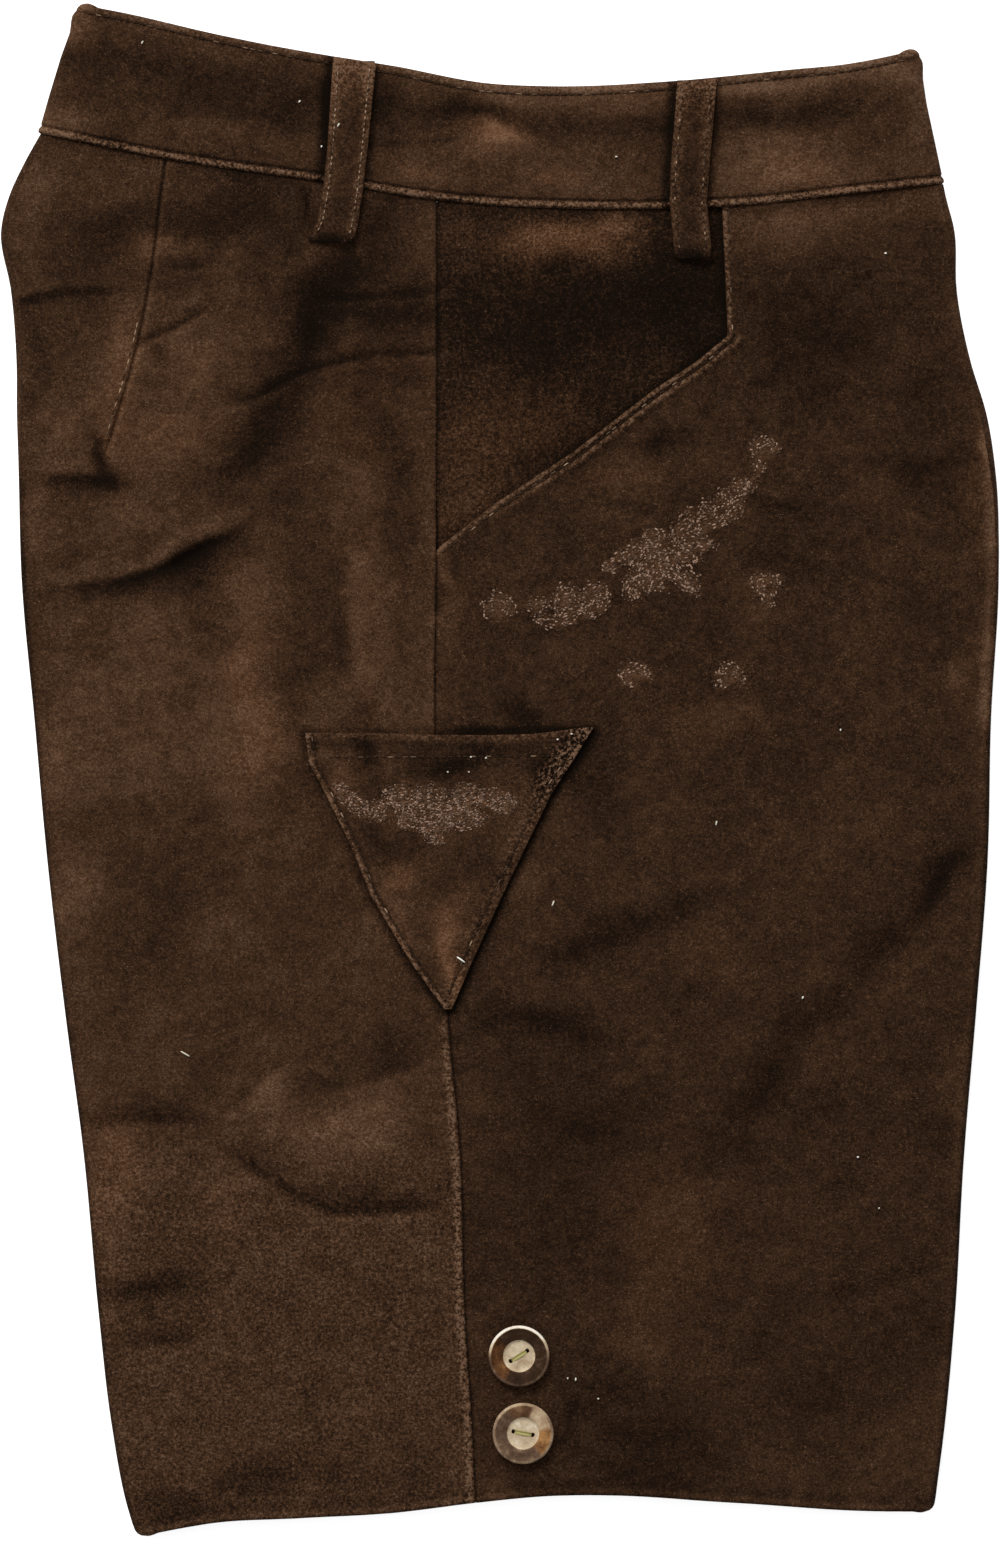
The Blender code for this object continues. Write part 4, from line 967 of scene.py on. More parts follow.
def back_seams(x, y):
    """The welt along the side seam, stronger on the lower leg, the dart and a step in tone on the thigh;
    painted highlights lie on the ridges and painted shade in the seam and the dart.
    """
    seam = np.abs(x - seam_at(y))
    lower_leg = smooth((-90 - y) / 30)
    raised = (0.08 + 0.22 * lower_leg) * bell(seam - 1.4, 1.0)
    # Painted highlight on the welt, painted shade in the seam line
    light = (0.02 + 0.16 * lower_leg) * bell(seam - 2.0, 1.4) - 0.28 * bell(seam, 0.6)
    worn = 0.9 * bell(seam - 2.0, 1.8) * lower_leg + 0.28 * smooth((-120 - y) / 60)
    dart = x - dart_at(y)
    sewn = smooth((y - DART_END) / 8)
    step = smooth((THIGH_STEP_Y - y) / 6) * (1 - smooth((THIGH_STEP_Y - y) / THIGH_STEP_FADE))
    # Painted highlight on the dart's ridge and painted shade in its line
    light = light + sewn * bells(dart, *DART_LIGHT) - THIGH_STEP * step * smooth((THIGH_STEP_X - x) / 12)
    return raised + sewn * bells(dart, *DART_FORM), light, worn


def front_seams(x, y, from_fold):
    """The turned edge of the pocket mouth, the side seam below it and a gleam inside the fold: painted
    highlights on the ridges and inside the fold, painted shade in the groove and the seam.
    """
    at_hip = smooth((GLEAM_TOP - y) / GLEAM_FADE) * smooth((y - GLEAM_FOOT) / GLEAM_FADE)
    width = GLEAM_WIDTH + GLEAM_SPREAD * at_hip
    light = (GLEAM + GLEAM_HIP * at_hip) * bell(from_fold - GLEAM_FROM_FOLD, width)
    seam = np.abs(x - seam_at(y))
    below_mouth = smooth((MOUTH_PATH[0][1] - y) / 4)
    at_mouth = 1 - below_mouth
    double = smooth((x + 20) / 60) * smooth((MOUTH_CORNER[1] + 3 - y) / 4)
    mouth = along_path(x, y, MOUTH_PATH)[0]
    raised = at_mouth * (bells(mouth, *MOUTH_FORM) + double * bells(mouth, *SECOND_RIDGE_FORM))
    raised = raised - below_mouth * 0.25 * bell(seam, 1.2)
    # Painted highlights on the mouth's ridges, painted shade between them and in the side seam below
    light = light + at_mouth * (bells(mouth, *MOUTH_LIGHT) + double * bells(mouth, *SECOND_RIDGE_LIGHT))
    light = light - below_mouth * 0.24 * bell(seam, 0.7)
    worn = at_mouth * 0.7 * (bell(mouth - 1.0, 1.2) + double * bell(mouth - 4.2, 1.1))
    return raised, light, worn


def panel_face(side, toward, x, y):
    """How far the face is raised, its lightness, warmth and wear."""
    light, warm = patches(PANEL_PATCHES, x, y)
    from_hem = y - hem_at(x)
    from_fold = toward * (edge_at(toward, y) - x)
    # Painted shade in the creases, on the folded edge, beside the knife pocket and below the waistband's rib;
    # painted shade and a highlight along the hem
    light = light - CREASE_SHADE * creases(x, y)[1] - FOLD_SHADE * bell(from_fold, 1.5) - knife_shade(x, y)
    light = light + bells(waist_at(x) - y, *WAIST_LIGHT) + bells(from_hem, *HEM_LIGHT)
    raised, own_light, worn = back_seams(x, y) if toward == BACK else front_seams(x, y, from_fold)
    raised = raised + bells(from_hem, *HEM_FORM)
    light = light + own_light + (BACK_TONE if toward == BACK else FRONT_TONE)
    if toward == FRONT:
        covered = embroidered(FRONT_LOBES, x, y)
        raised, light, warm = raised + 0.12 * covered, light + 0.22 * covered, warm + 0.1 * covered
    return hidden_face(raised) if side == LEFT else (raised, light, warm, worn)


def band_face(side, x, y):
    """As panel_face, with a rib above the seam, sewing below the top, painted shadows beside the loops, and
    painted highlights and shade on the rib, the top edge and the band's sag.
    """
    from_seam = y - waist_at(x)
    from_top = top_at(x) - y
    beat = 0.8 + 0.2 * np.sin(x / 7.3) * np.sin(x / 3.1)
    rib = 0.42 * beat * bell(from_seam - 1.4, 1.1) - 0.4 * bell(from_seam - 3.2, 0.6)
    raised = rib + bells(from_top, *BAND_TOP_FORM)
    if side == LEFT:
        return hidden_face(raised)
    light, warm = patches(BAND_PATCHES, x, y)
    # Painted crease shade, the creases' shade shifted up onto the band
    light = light - CREASE_SHADE * 0.6 * creases(x, y - 60)[1] - 0.07 * smooth((-60 - x) / 40)
    # Painted highlight on the rib and the top edge, painted shade in the grooves and on the band's sag
    light = light + 0.24 * beat * bell(from_seam - 1.6, 1.1) - 0.34 * bell(from_seam - 3.4, 0.6)
    light = light + bells(from_top, *BAND_TOP_LIGHT) + bells(from_seam / (from_seam + from_top), *BAND_LIGHT)
    worn = 1.2 * bell(from_seam - 1.5, 1.3) + 0.3 * bell(from_top - 1.6, 1.6)
    for part in LOOP_EDGES:
        left_x, left_y, right_x, right_y = loop_sides(part)
        beside, before = x - np.interp(y, right_y, right_x), np.interp(y, left_y, left_x) - x
        # Painted shadows beside each loop, darker on its left
        light = light - 0.26 * bell(beside - 0.6, 2.4) * (beside > -3)
        light = light - 0.48 * bell(before - 0.8, 2.3) * (before > -3)
    return raised, BAND_TONE + light, warm, worn


def facing_face(side, x, y):
    """As panel_face, with painted shade along the seam and a painted shadow beneath the pocket mouth's edge.
    """
    if side == LEFT:
        return hidden_face(np.zeros_like(x))
    light, warm = patches(FACING_PATCHES, x, y)
    seam, mouth = np.abs(x - seam_at(y)), along_path(x, y, MOUTH_PATH)[0]
    # Painted shade along the seam and a painted shadow beneath the pocket mouth's edge, darker towards the
    # top
    light = light - 0.22 * bell(seam, 0.9) - (0.10 + 0.18 * smooth((y - 120) / 50)) * bell(mouth, 2.6)
    return -0.2 * bell(seam, 1.2), FACING_TONE + light, warm, 0.25


def knife_face(x, y):
    """As panel_face, with sewn edges and the upper right corner rubbed."""
    light, warm = patches(KNIFE_PATCHES, x, y)
    left, right = knife_sides(y)
    left, right = (x - left) * KNIFE_SLANT, (right - x) * KNIFE_SLANT
    top = KNIFE_POCKET[0][0] + knife_lift(x) - y
    raised = bells(left, *KNIFE_LEFT_FORM) + bells(right, *KNIFE_RIGHT_FORM) + bells(top, *KNIFE_TOP_FORM)
    # Painted highlights on the turned edges, painted shade in the grooves beside them and below the top edge
    light = light + bells(left, *KNIFE_LEFT_LIGHT) + bells(right, *KNIFE_RIGHT_LIGHT)
    light = light + bells(top, *KNIFE_TOP_LIGHT)
    high = smooth((y + 30) / 40)
    rubbed = bell(right - 3.0, 2.5 + 3.0 * high) * (0.4 + 0.6 * high)
    corner = bell(right - 4.0, 5.0) * smooth((y + 14) / 16)
    worn = 1.5 * rubbed + 2.0 * corner + 0.9 * bell(left - 1.0, 1.1) + 0.5 * bell(top - 1.0, 1.4)
    covered = embroidered(KNIFE_LOBES, x, y)
    light, warm = light - 0.34 * corner + 0.18 * covered, warm + 0.1 * covered
    return raised, KNIFE_TONE + light, warm, worn + 0.3 * covered


def loop_face(side, part):
    """As panel_face, over the loop's own grid."""
    across = np.linspace(-1, 1, LOOP_COLUMNS)[None, :] * np.ones((LOOP_ROWS, 1))
    down = np.linspace(0, 1, LOOP_ROWS)[:, None]
    edge = (1 - np.abs(across)) * BELT_LOOPS[0][4] / 2
    raised = bells(edge, *LOOP_FORM)
    if side == LEFT:
        return hidden_face(raised)
    # Painted shade in the loop's sunk middle and a painted shadow at its foot; its top is lighter
    light = LOOP_TONES[part] + bells(edge, *LOOP_LIGHT) + bells(down, *LOOP_END_LIGHT)
    return raised, light, 0.2 * bell(down, 0.4), 0.5 * bell(edge - 1.8, 1.8) + 0.6 * bell(down, 0.16)


# --- Meshes ---


def unit(vectors):
    return vectors / np.maximum(np.linalg.norm(vectors, axis=-1, keepdims=True), 1e-9)


def write_values(mesh, values):
    """A value for each point under each name, which the materials read."""
    for key, value in values.items():
        layer = mesh.attributes.new(key, "FLOAT", "POINT")
        layer.data.foreach_set("value", np.asarray(value, np.float32).ravel())


def closed_mesh(name, points, faces, values):
    """A mesh in metres with smooth shading, its faces turned outward, and a value per point for each name."""
    corners = [points[faces[:, i]] for i in range(4)]
    volume = np.sum(np.cross(corners[1] - corners[0], corners[2] - corners[0]) * corners[0])
    volume += np.sum(np.cross(corners[2] - corners[0], corners[3] - corners[0]) * corners[0])
    rows = [[a, b, c] if c == d else [a, b, c, d] for a, b, c, d in faces.tolist()]
    if volume < 0:
        rows = [row[::-1] for row in rows]
    mesh = bpy.data.meshes.new(name)
    mesh.from_pydata((points * MM).tolist(), [], rows)
    write_values(mesh, values)
    mesh.shade_smooth()
    return mesh


def around_the_edge(rows, columns):
    """The grid's edge points as rows and columns, once round, and which of its four sides each is on."""
    edge = [(0, c) for c in range(columns - 1)] + [(r, columns - 1) for r in range(rows - 1)]
    edge += [(rows - 1, c) for c in range(columns - 1, 0, -1)] + [(r, 0) for r in range(rows - 1, 0, -1)]
    r, c = np.array(edge).T
    return (r, c), [side[:, None] for side in (r == 0, r == rows - 1, c == 0, c == columns - 1)]


def shell_mesh(name, grid, outward, thickness, bulge, raised, light, warm, worn):
    """A wall of this thickness on the grid, with its outer face raised and a round edge all the way round.

    outward is 1 or -1: the sign that turns the grid's own normal to the outer face.
    """
    rows, columns, _ = grid.shape
    along, up = np.gradient(grid, axis=1), np.gradient(grid, axis=0)
    normal = unit(np.cross(along, up)) * outward
    outer = grid + normal * (thickness / 2 + raised)[..., None]
    inner = grid - normal * thickness / 2
    at, (first_row, last_row, first_column, last_column) = around_the_edge(rows, columns)
    out = unit(up[at]) * last_row - unit(up[at]) * first_row
    out = unit(out + unit(along[at]) * last_column - unit(along[at]) * first_column)
    rings = []
    for angle in RIM_ANGLES:
        height = outer[at] - grid[at] if angle > 0 else grid[at] - inner[at]
        rings.append(grid[at] + height * math.sin(angle) + out * bulge * math.cos(angle))
    count, around = rows * columns, len(out)
    index = np.arange(count).reshape(rows, columns)
    quads = np.stack([index[:-1, :-1], index[:-1, 1:], index[1:, 1:], index[1:, :-1]], axis=-1).reshape(-1, 4)
    loops = [2 * count + k * around + np.arange(around) for k in range(len(rings))]
    loops = [index[at], *loops, count + index[at]]
    faces = [quads, quads[:, ::-1] + count]
    for first, second in zip(loops, loops[1:]):
        faces.append(np.stack([np.roll(first, -1), first, second, np.roll(second, -1)], axis=-1))
    points = np.concatenate([outer.reshape(-1, 3), inner.reshape(-1, 3), *rings])
    values = {}
    for key, value, plain in (("light", light, PLAIN_TONE), ("warm", warm, 0.0), ("worn", worn, 0.0)):
        value = np.broadcast_to(value, (rows, columns))
        # Painted shade: the cut edge's rim is darker by EDGE_SHADE
        rim = [value[at] - EDGE_SHADE * (key == "light")] * len(rings)
        values[key] = np.concatenate([value.ravel(), np.full(count, plain), *rim])
    return closed_mesh(name, points, np.concatenate(faces), values)


def add_object(name, data):
    thing = bpy.data.objects.new(name, data)
    bpy.context.scene.collection.objects.link(thing)
    return thing


def add_piece(mesh, material, node=None):
    """A piece of the shorts, in place of the CAD node if it has one."""
    piece = add_object(mesh.name, mesh)
    mesh.materials.append(material)
    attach(piece, "root")
    if node:
        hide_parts(node)
    return piece


# --- Stitches ---


def strand_faces(rings, sides):
    """The faces of one strand: its rings of points, then the tips at its start and its end."""
    last, start, end = (rings - 1) * sides, rings * sides, rings * sides + 1
    around = [(i, (i + 1) % sides) for i in range(sides)]
    faces = []
    for low in range(0, last, sides):
        faces += [(low + i, low + k, low + sides + k, low + sides + i) for i, k in around]
    for i, k in around:
        faces += [(k, i, start, start), (last + i, last + k, end, end)]
    return np.array(faces)


def stitch_mesh(name, starts, ends, radius, lift, seed, sides=6, dullness=DOT_DULLNESS):
    """One mesh of short thread strands that dip in at both ends, with a slightly different tone each."""
    count = len(starts)
    run = ends - starts
    side = unit(np.cross(run, np.array([0.0, 0.0, 1.0])))
    up = unit(np.cross(side, run))
    at, thick = np.array(STRAND_AT), np.array(STRAND_THICK) * radius
    high = lift * np.sin(math.pi * at)
    angles = np.linspace(0, math.tau, sides, endpoint=False)
    middle = starts[:, None] + run[:, None] * at[None, :, None] + up[:, None] * high[None, :, None]
    ring = side[:, None] * np.cos(angles)[None, :, None] + up[:, None] * np.sin(angles)[None, :, None]
    points = middle[:, :, None] + ring[:, None] * thick[None, :, None, None]
    tip = unit(run) * radius * STRAND_TIP
    tips = np.stack([starts - tip, ends + tip], axis=1)
    points = np.concatenate([points.reshape(count, -1, 3), tips], axis=1)
    per = points.shape[1]
    faces = (strand_faces(len(at), sides)[None] + per * np.arange(count)[:, None, None]).reshape(-1, 4)
    tone = np.random.default_rng(seed).uniform(0.0, 1.0, count) ** dullness
    return closed_mesh(name, points.reshape(-1, 3), faces, {"light": np.repeat(tone, per)})


def stitches_along(path, top, pitch, length):
    """Starts and ends of the stitches in a row along the path, on the surface that top gives."""
    path = np.array(path, float)
    steps = np.hypot(*np.diff(path, axis=0).T)
    way = np.concatenate([[0.0], np.cumsum(steps)])
    count = int(way[-1] // pitch)
    if count < 1:
        return np.zeros((0, 3)), np.zeros((0, 3))
    centres = (way[-1] - (count - 1) * pitch) / 2 + pitch * np.arange(count)
    found = []
    for at in (centres - length / 2, centres + length / 2):
        x, y = np.interp(at, way, path[:, 0]), np.interp(at, way, path[:, 1])
        found.append(np.stack([x, y, top(x, y)], axis=-1))
    return found


def sew(name, rows, top, material, seed, dullness, pitch=STITCH_PITCH, length=STITCH_LENGTH):
    """A piece of machine stitching along these rows."""
    parts = zip(*[stitches_along(row, top, pitch, length) for row in rows])
    starts, ends = (np.concatenate(part) for part in parts)
    mesh = stitch_mesh(name, starts, ends, STITCH_RADIUS, STITCH_LIFT, seed, dullness=dullness)
    return add_piece(mesh, material)


def sew_pocket_mouth(material):
    """One row beside the curved edge, and a short one from its corner up to the waistband."""
    inward = np.array(MOUTH_INWARD) * MOUTH_SEWING
    row = [tuple(np.array(point) + inward) for point in MOUTH_PATH[:-1]]
    return sew("sewing_pocket_mouth", [row, MOUTH_SHORT_ROW], panel_top, material, seed=11, dullness=7.0)


def sew_dart(material):
    row = [(float(dart_at(y)) - DART_SEWING, y) for y in DART_SEWN]
    return sew("sewing_dart", [row], panel_top, material, seed=13, dullness=2.0)


def sew_waistband(material):
    """A row below the band's top edge."""
    row = [(x, float(top_at(x)) - BAND_SEWING) for x in BAND_SEWN]
    return sew("sewing_waistband", [row], band_top, material, seed=12, dullness=14.0)


def sew_loop(material, number, part, *sizes):
    """A row along each edge of a right loop."""
    grid = loop_grid(RIGHT, part, *sizes)
    rows = [[tuple(grid[r, c, :2]) for r in range(2, LOOP_ROWS - 3)] for c in (2, LOOP_COLUMNS - 3)]

    def loop_top(x, y):
        return np.interp(-y, -grid[:, 0, 1], grid[:, LOOP_COLUMNS // 2, 2]) + LEATHER / 2 + LOOP_STITCH_LIFT

    look = {"seed": 20 + number, "dullness": LOOP_DULLNESS[part]}
    return sew("sewing_loop_" + part, rows, loop_top, material, **look, pitch=2.4, length=1.2)


def sew_knife_pocket(material):
    """A row inside each side edge and one below the top edge."""
    (west, east), level = KNIFE_SEWING_ENDS, KNIFE_POCKET[0][0] - KNIFE_SEWING
    rows = [
        [(left + KNIFE_LEFT_SEWING, y) for y, left, _ in KNIFE_POCKET[:-1]],
        [(right - KNIFE_RIGHT_SEWING, y) for y, _, right in KNIFE_POCKET[:-1]],
        [(west, level - KNIFE_SEWING_SLOPE), (east, level)],
    ]
    return sew("sewing_knife_pocket", rows, knife_top, material, seed=31, dullness=12.0)


def lobe_share(lobe, x, y):
    """0 at the lobe's edge, 1 at its middle."""
    centre_x, centre_y, half_width, half_height, turn = lobe[:5]
    across, up = turned(x - centre_x, y - centre_y, -turn)
    return 1 - np.hypot(across / half_width, up / half_height)


def lobe_rings(lobe, others, fineness):
    """Rings of dots in a lobe as starts and ends (x, y), without those that lie deeper in another lobe."""
    centre_x, centre_y, half_width, half_height, turn, *part = lobe
    middle, spread = part or (90, WHOLE)
    starts, ends = [], []
    inset = RING_GAP * fineness * RING_INSET
    while inset < min(half_width, half_height):
        wide, high = half_width - inset, half_height - inset
        around = math.pi * (wide + high) * spread / WHOLE
        count = max(1, int(around / (DOT_PITCH * fineness)))
        angle = math.radians(middle - spread / 2) + math.radians(spread) * (np.arange(count) + 0.5) / count
        half = DOT_LENGTH / (wide + high)
        for found, at in ((starts, angle - half), (ends, angle + half)):
            across, up = turned(wide * np.cos(at), high * np.sin(at), turn)
            found.append(np.stack([centre_x + across, centre_y + up], axis=-1))
        inset += RING_GAP * fineness
    starts, ends = np.concatenate(starts), np.concatenate(ends)
    at = (starts + ends) / 2
    own = lobe_share(lobe, *at.T)
    kept = np.ones(len(at), bool)
    for other in others:
        kept &= lobe_share(other, *at.T) <= own + 1e-6
    return starts[kept], ends[kept]


def embroider(name, lobes, veins, top, material, seed, fineness=1.0):
    """One mesh of dots of thread that fill the lobes and run along the veins."""
    starts, ends = (list(part) for part in zip(*[lobe_rings(lobe, lobes, fineness) for lobe in lobes]))
    filling = sum(len(part) for part in starts)
    for row in veins:
        first, last = stitches_along(row, lambda x, y: 0 * x, VEIN_PITCH, VEIN_LENGTH)
        starts.append(first[:, :2])
        ends.append(last[:, :2])
    starts, ends = np.concatenate(starts), np.concatenate(ends)
    middle = (starts + ends) / 2
    moved = middle - np.column_stack(ragged(*middle.T))
    dullness = np.where(np.arange(len(starts)) < filling, DOT_DULLNESS, VEIN_DULLNESS)
    random = np.random.default_rng(seed)
    wander = random.normal(0, DOT_WANDER, (len(starts), 2)) + moved
    turn = random.normal(0, DOT_TURN, (len(starts), 2))
    starts, ends = starts + wander + turn, ends + wander - turn
    starts, ends = (np.column_stack([part, top(*part.T)]) for part in (starts, ends))
    mesh = stitch_mesh(name, starts, ends, DOT_RADIUS * math.sqrt(fineness), DOT_LIFT, seed + 1, 5, dullness)
    return add_piece(mesh, material)


def scatter_lint(material):
    """Each fibre lies on the sheet that is uppermost where it is."""
    x, y, length, turn = np.array(LINT).T
    run = np.stack([np.cos(np.radians(turn)), np.sin(np.radians(turn))], axis=-1) * length[:, None] / 2
    height = LINT_RADIUS * LINT_SHOWN + top_of_all(x, y)
    middle = np.stack([x, y], axis=-1)
    starts, ends = np.column_stack([middle - run, height]), np.column_stack([middle + run, height])
    mesh = stitch_mesh("lint", starts, ends, LINT_RADIUS, lift=0.15, seed=51)
    return add_piece(mesh, material)


def panel_top(x, y):
    """The height of the right panels' upper face."""
    return outer_height(RIGHT, x, y) + LEATHER / 2


def knife_top(x, y):
    top, foot = KNIFE_POCKET[0][0], KNIFE_POCKET[-1][0]
    left, right = knife_sides(y)
    gape = KNIFE_POCKET_GAPE * ((y - foot) / (top - foot)) ** GAPE_POWER
    arch = gape * np.sin(math.pi * np.clip((x - left) / (right - left), 0, 1))
    return panel_top(x, y) + ON_PANEL + arch


def top_of_all(x, y):
    on_knife = outside(x, y, KNIFE_OUTLINE) < 0
    on_band = y > waist_at(x)
    top = np.where(on_knife, knife_top(x, y), panel_top(x, y))
    top = np.where(on_band, band_top(x, y), top) + LINT_ABOVE
    for part in LOOP_EDGES:
        left_x, left_y, right_x, right_y = loop_sides(part)
        on_loop = (x > np.interp(y, left_y, left_x)) & (x < np.interp(y, right_y, right_x))
        on_loop = on_loop & (y > left_y[0]) & (y < left_y[-1])
        top = top + on_loop * (ON_PANEL + LOOP_SLACK + LOOP_ARCH)
    return top


def band_top(x, y):
    low, high = waist_at(x), top_at(x)
    return band_height(RIGHT, x, (y - low) / (high - low)) + BAND / 2


# --- Materials ---


# Colour of the suede and the horn from dark to pale, and the tints of what is warm
SUEDE_STOPS = (
    (0.0, (0.0056, 0.0031, 0.0018)),
    (0.25, (0.0150, 0.0074, 0.0039)),
    (0.5, (0.0385, 0.0182, 0.0090)),
    (0.75, (0.078, 0.0395, 0.0205)),
    (1.0, (0.150, 0.086, 0.052)),
)
HORN_STOPS = (
    (0.0, (0.012, 0.006, 0.002)),
    (0.25, (0.036, 0.0175, 0.0085)),
    (0.45, (0.115, 0.068, 0.042)),
    (0.65, (0.34, 0.235, 0.145)),
    (0.85, (0.58, 0.47, 0.32)),
    (1.0, (0.80, 0.74, 0.64)),
)
WARM, AMBER = (1.16, 0.97, 0.80), (1.15, 0.80, 0.42)
SHEEN = (0.8, 0.55, 0.4, 1.0)
# Dark and pale strands of each thread
THREAD_COLOURS = ((0.018, 0.0088, 0.0046), (0.36, 0.24, 0.155))
SILK_COLOURS = ((0.060, 0.033, 0.0195), (0.35, 0.225, 0.158))
BUTTON_THREAD_COLOURS = ((0.22, 0.19, 0.055), (0.55, 0.50, 0.21))
LINT_COLOURS = ((0.60, 0.55, 0.44), (0.88, 0.86, 0.78))
SPECKS = {"From Min": 0.64, "From Max": 0.76, "To Min": 0.0, "To Max": 0.5}


def new_material(name, **settings):
    """A material, its node tree and its shader with these settings, whose names have _ for a space."""
    material = bpy.data.materials.new(name)
    material.use_nodes = True
    shader = material.node_tree.nodes["Principled BSDF"]
    for key, value in settings.items():
        shader.inputs[key.replace("_", " ")].default_value = value
    return material, material.node_tree, shader


def add_node(tree, kind, values=(), links=(), **settings):
    """A node with these settings; values go on its sockets and links come from (node, output name)."""
    node = tree.nodes.new(kind)
    for key, value in settings.items():
        setattr(node, key, value)
    for key, value in dict(values).items():
        node.inputs[key].default_value = value
    for key, (source, output) in dict(links).items():
        tree.links.new(source.outputs[output], node.inputs[key])
    return node


def maths(tree, operation, *terms):
    """A maths node on these terms, each a number or (node, output name)."""
    node = add_node(tree, "ShaderNodeMath", operation=operation)
    for socket, term in zip(node.inputs, terms):
        if isinstance(term, tuple):
            tree.links.new(term[0].outputs[term[1]], socket)
        else:
            socket.default_value = term
    return node, "Value"


def mesh_value(tree, name):
    return add_node(tree, "ShaderNodeAttribute", attribute_name=name), "Fac"


def join_surface(tree, shader, colour, height, strength, distance):
    """The shader's colour, and its bump from a height as (node, output name)."""
    tree.links.new(colour, shader.inputs["Base Color"])
    sizes = {"Strength": strength, "Distance": distance}
    bump = add_node(tree, "ShaderNodeBump", sizes, {"Height": height})
    tree.links.new(bump.outputs["Normal"], shader.inputs["Normal"])


def noise(tree, scale, detail=2.0, roughness=0.5):
    place = tree.nodes.get("Place") or add_node(tree, "ShaderNodeTexCoord", name="Place")
    values = {"Scale": scale, "Detail": detail, "Roughness": roughness}
    return add_node(tree, "ShaderNodeTexNoise", values, {"Vector": (place, "Object")})


def weighted_sum(tree, first, terms):
    """first + weight * (noise - 0.5) for each term, where first is (node, output name)."""
    total = first
    for source, weight in terms:
        scaled = maths(tree, "MULTIPLY_ADD", (source, "Fac"), weight, -weight / 2)
        total = maths(tree, "ADD", total, scaled)
    return total


def colour_ramp(tree, factor, stops):
    ramp = add_node(tree, "ShaderNodeValToRGB", links={"Fac": factor})
    elements = ramp.color_ramp.elements
    while len(elements) < len(stops):
        elements.new(0.5)
    for element, (position, colour) in zip(elements, stops):
        element.position = position
        element.color = (*colour, 1.0)
    return ramp


def warmed(tree, ramp, tint):
    """The ramp's colour multiplied by the tint where the mesh's value "warm" is 1."""
    settings = {"data_type": "RGBA", "blend_type": "MULTIPLY"}
    mixed = add_node(tree, "ShaderNodeMix", {7: (*tint, 1.0)}, {0: mesh_value(tree, "warm")}, **settings)
    tree.links.new(ramp.outputs["Color"], mixed.inputs[6])
    return mixed.outputs[2]


def suede_material(name):
    """Napped leather: cloudy, grained and matte, lighter where it is rubbed."""
    sheen = {"Sheen_Weight": 0.02, "Sheen_Roughness": 0.5, "Sheen_Tint": SHEEN}
    material, tree, shader = new_material(name, Roughness=0.95, Specular_IOR_Level=0.03, **sheen)
    cloud, blotch, mottle = noise(tree, 22.0, 3.0), noise(tree, 62.0, 3.0), noise(tree, 190.0, 4.0, 0.65)
    grain, fine = noise(tree, 780.0, 3.0, 0.7), noise(tree, 1700.0, 2.0, 0.7)
    weights = ((cloud, 0.26), (blotch, 0.30), (mottle, 0.44), (grain, 0.86), (fine, 0.9))
    tone = weighted_sum(tree, mesh_value(tree, "light"), weights)
    rubbed = maths(tree, "MULTIPLY", maths(tree, "ADD", (grain, "Fac"), -0.46), 2.6)
    tone = maths(tree, "MULTIPLY_ADD", rubbed, mesh_value(tree, "worn"), tone)
    specks = add_node(tree, "ShaderNodeMapRange", SPECKS, {"Value": (fine, "Fac")})
    tone = maths(tree, "ADD", tone, (specks, "Result"))
    nap = weighted_sum(tree, (grain, "Fac"), ((fine, 0.8), (mottle, 1.4)))
    join_surface(tree, shader, warmed(tree, colour_ramp(tree, tone, SUEDE_STOPS), WARM), nap, 0.85, 0.0005)
    return material


def thread_material(name, dark, pale):
    """Thread that is darker or paler from stitch to stitch."""
    material, tree, shader = new_material(name, Roughness=0.8, Specular_IOR_Level=0.08)
    fibre = noise(tree, 2600.0, 2.0)
    tone = weighted_sum(tree, mesh_value(tree, "light"), ((fibre, 0.6),))
    ramp = colour_ramp(tree, tone, ((0.0, dark), (1.0, pale)))
    join_surface(tree, shader, ramp.outputs["Color"], (fibre, "Fac"), 0.5, 0.0001)
    return material


def horn_material():
    """Streaked horn, which is amber where it is warm."""
    material, tree, shader = new_material("horn", Roughness=0.45, Specular_IOR_Level=0.06)
    streak, speckle = noise(tree, 170.0, 4.0, 0.65), noise(tree, 1500.0, 2.0)
    tone = weighted_sum(tree, mesh_value(tree, "light"), ((streak, 0.7), (speckle, 0.2)))
    colour = warmed(tree, colour_ramp(tree, tone, HORN_STOPS), AMBER)
    join_surface(tree, shader, colour, (streak, "Fac"), 0.25, 0.0001)
    return material


# --- Buttons ---

BUTTON_PROFILE = (
    (0.0, BUTTON_WEB), (0.2, BUTTON_WEB), (0.40, BUTTON_WEB), (0.485, BUTTON_WEB + 0.004),
    (0.515, BUTTON_WEB + 0.03), (0.54, BUTTON_HEIGHT - 0.065), (0.58, BUTTON_HEIGHT - 0.045),
    (0.72, BUTTON_HEIGHT - 0.03), (0.84, BUTTON_HEIGHT - 0.022), (0.89, BUTTON_HEIGHT - 0.004),
    (0.93, BUTTON_HEIGHT), (0.97, BUTTON_HEIGHT - 0.012), (0.995, BUTTON_HEIGHT - 0.05),
    (1.0, BUTTON_HEIGHT - 0.09), (0.97, BUTTON_HEIGHT - 0.15), (0.86, 0.05), (0.72, 0.0), (0.0, 0.0),
)
BUTTON_STEPS, HOLE_STEPS = 72, 20
HOLE_INSET, THREAD_DROP = 0.35, 0.12


